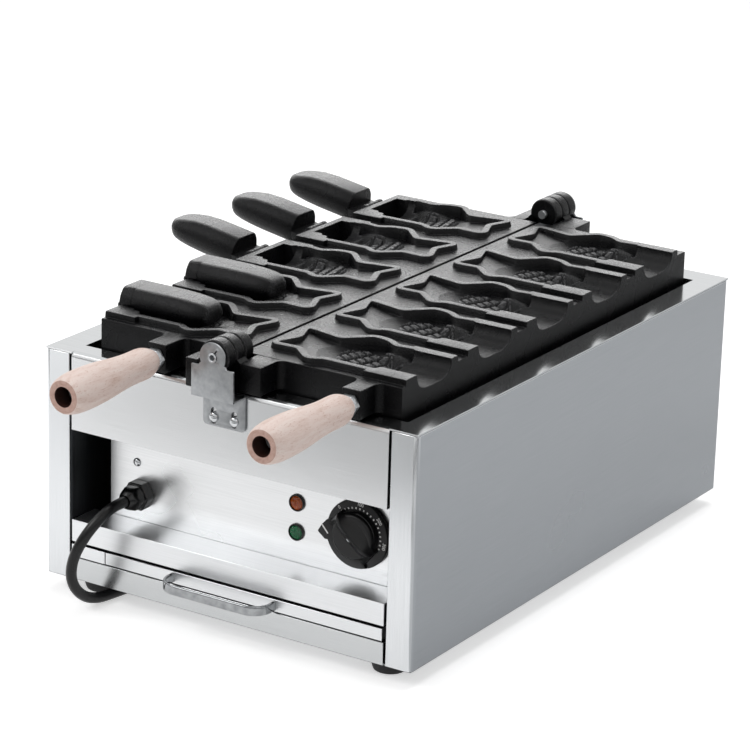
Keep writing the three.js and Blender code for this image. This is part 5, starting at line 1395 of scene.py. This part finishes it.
def lampLens(name, z, material):
    # A lens cut into facets, so that it glitters over its whole face
    v = lampShape
    sides, pitch, panel = v["sides"], v["pitch"], knobShape["panel"]
    ring = arcPoints(0, 0, v["lens"] - 0.25, 0, 360 - 360 / sides, sides)
    reach = 2 * int(v["lens"] / pitch) + 2
    points = list(ring)
    for i in range(-reach, reach + 1):
        for j in range(-reach, reach + 1):
            x, y = i * pitch / 2, j * pitch / 2
            if (i + j) % 2 == 0 and math.hypot(x, y) < v["lens"] - 0.9:
                points.append((x, y))
    edges = [(n, (n + 1) % sides) for n in range(sides)]
    found = delaunay_2d_cdt([Vector(p) for p in points], edges, [], 1, 1e-6)

    def high(x, y):
        crest = round(x / pitch * 2) % 2 == 0
        rim = math.hypot(x, y) / v["lens"]
        return v["proud"] - 2.2 * rim ** 2 + (0.45 if crest and rim < 0.9 else 0)

    bm = bmesh.new()
    top = [bm.verts.new(place(v["x"] + p.x, panel - high(p.x, p.y), z + p.y)) for p in found[0]]
    for face in found[2]:
        bm.faces.new([top[i] for i in face])
    low = [bm.verts.new(place(v["x"] + x, panel - 1, z + y)) for x, y in ring]
    order = {s[0]: k for k, s in enumerate(found[3]) if s}
    skin(bm, [[top[order[n]] for n in range(sides)], low])
    bm.faces.new(low)
    finishedPiece(f"lamp_lens_{name}", bm, material, "case", (), 8)


for name, material in (("amber", amberLens), ("green", greenLens)):
    lampBezel(name, lampShape["z"][name])
    lampLens(name, lampShape["z"][name], material)

print("cable gland")
glandShape = {"x": -113.5, "z": 99.5, "across": 25, "hex": 11, "end": 26, "mouth": 24, "bore": 5.3,
              "sides": 72}


def cableGland():
    # A hex body with a domed nut that tapers down to the cord, its flats run into the dome
    v = glandShape
    half, nut, end = v["across"] / 2, v["hex"], v["end"]
    stations = [  # how far it stands out, its share of the full width and of the hexagon's shape
        (-0.3, 0.93, 1), (0.7, 1, 1), (nut - 1.0, 1, 1), (nut - 0.2, 0.95, 1), (nut, 0.86, 0.5),
        (nut + 0.5, 0.82, 0.2), (nut + 1.0, 0.86, 0.9), (nut + 6.5, 0.85, 0.8), (nut + 9, 0.80, 0.45),
        (nut + 11, 0.735, 0.15), (nut + 12.6, 0.66, 0), (nut + 13.6, 0.575, 0), (end - 0.6, 0.52, 0),
        (end, 0.47, 0)]
    stations += [(c, v["bore"] / half, 0) for c in (end - 0.3, v["mouth"], -0.3)]
    bm = bmesh.new()
    rows = []
    for c, share, hexness in stations:
        row = []
        for a in angles(v["sides"]):
            hexagon = min(hexReach(v["across"], a), half / math.cos(math.pi / 6) * 0.965)
            r = share * (hexagon * hexness + (1 - hexness) * half)
            x, y, z = v["x"] + r * math.sin(a), knobShape["panel"] - c, v["z"] + r * math.cos(a)
            row.append(bm.verts.new(place(x, y, z)))
        rows.append(row)
    skin(bm, rows, closed=True)
    finishedPiece("domed_gland", bm, glandNylon, "case", ("cable_gland",), 30)


cableGland()

print("feet")
footShape = {"radius": 17, "toe": 14.6, "high": 15.7, "x": 155, "y": 249.5}


def foot(side, end):
    v = footShape
    radius, toe, high = v["radius"], v["toe"], v["high"]
    profile = [(0, 1.2), (9, 1.2), (10, 0), (toe - 1, 0), (toe, 0.7), (toe + 1, 3), (toe + 1.9, 6.5),
               (radius - 0.15, 10.5), (radius, high - 1), (radius - 0.3, high - 0.3), (radius - 1, high),
               (0, high)]
    bm = bmesh.new()
    turned(bm, profile, lambda s, c, h: place(side * v["x"] + c, end * v["y"] + s, h), 48, ring=False)
    name = f"foot_{endNames[end]}_{sideNames[side]}"
    finishedPiece("moulded_" + name, bm, footRubber, "case", (name,), 40)


for side in (-1, 1):
    for end in (-1, 1):
        foot(side, end)

wearAndHighlight = {"full": 0.3, "share": 0.62, "longest": 4.2}


def markWearAndHighlight(mesh):
    # Where a point stands above its neighbours, so on edges and scales, the coat comes out paler: partly
    # rubbed wear, partly a painted highlight
    count = len(mesh.vertices)
    spots, edges = np.empty(count * 3), np.empty(len(mesh.edges) * 2, int)
    mesh.vertices.foreach_get("co", spots)
    mesh.edges.foreach_get("vertices", edges)
    spots, edges = spots.reshape(-1, 3), edges.reshape(-1, 2)
    out = np.array([n.vector for n in mesh.vertex_normals])
    sums, near, longest = np.zeros((count, 3)), np.zeros(count), np.zeros(count)
    for a, b in ((0, 1), (1, 0)):
        away = spots[edges[:, b]] - spots[edges[:, a]]
        length = np.maximum(np.linalg.norm(away, axis=1), 1e-6)
        np.add.at(sums, edges[:, a], away / length[:, None])
        np.add.at(near, edges[:, a], 1)
        np.maximum.at(longest, edges[:, a], length)
    lift = -(sums * out).sum(1) / np.maximum(near, 1)
    wornAndHighlit = np.clip(lift / wearAndHighlight["full"], 0, 1) * wearAndHighlight["share"] * (longest < wearAndHighlight["longest"] * mm)
    mesh.attributes.new("wornAndHighlit", "FLOAT", "POINT").data.foreach_set("value", wornAndHighlit)


for piece in list(scene.objects):
    if piece.type == "MESH" and castCoat in list(piece.data.materials):
        castings.objects.link(piece)
        if piece not in nodes.values():
            markWearAndHighlight(piece.data)
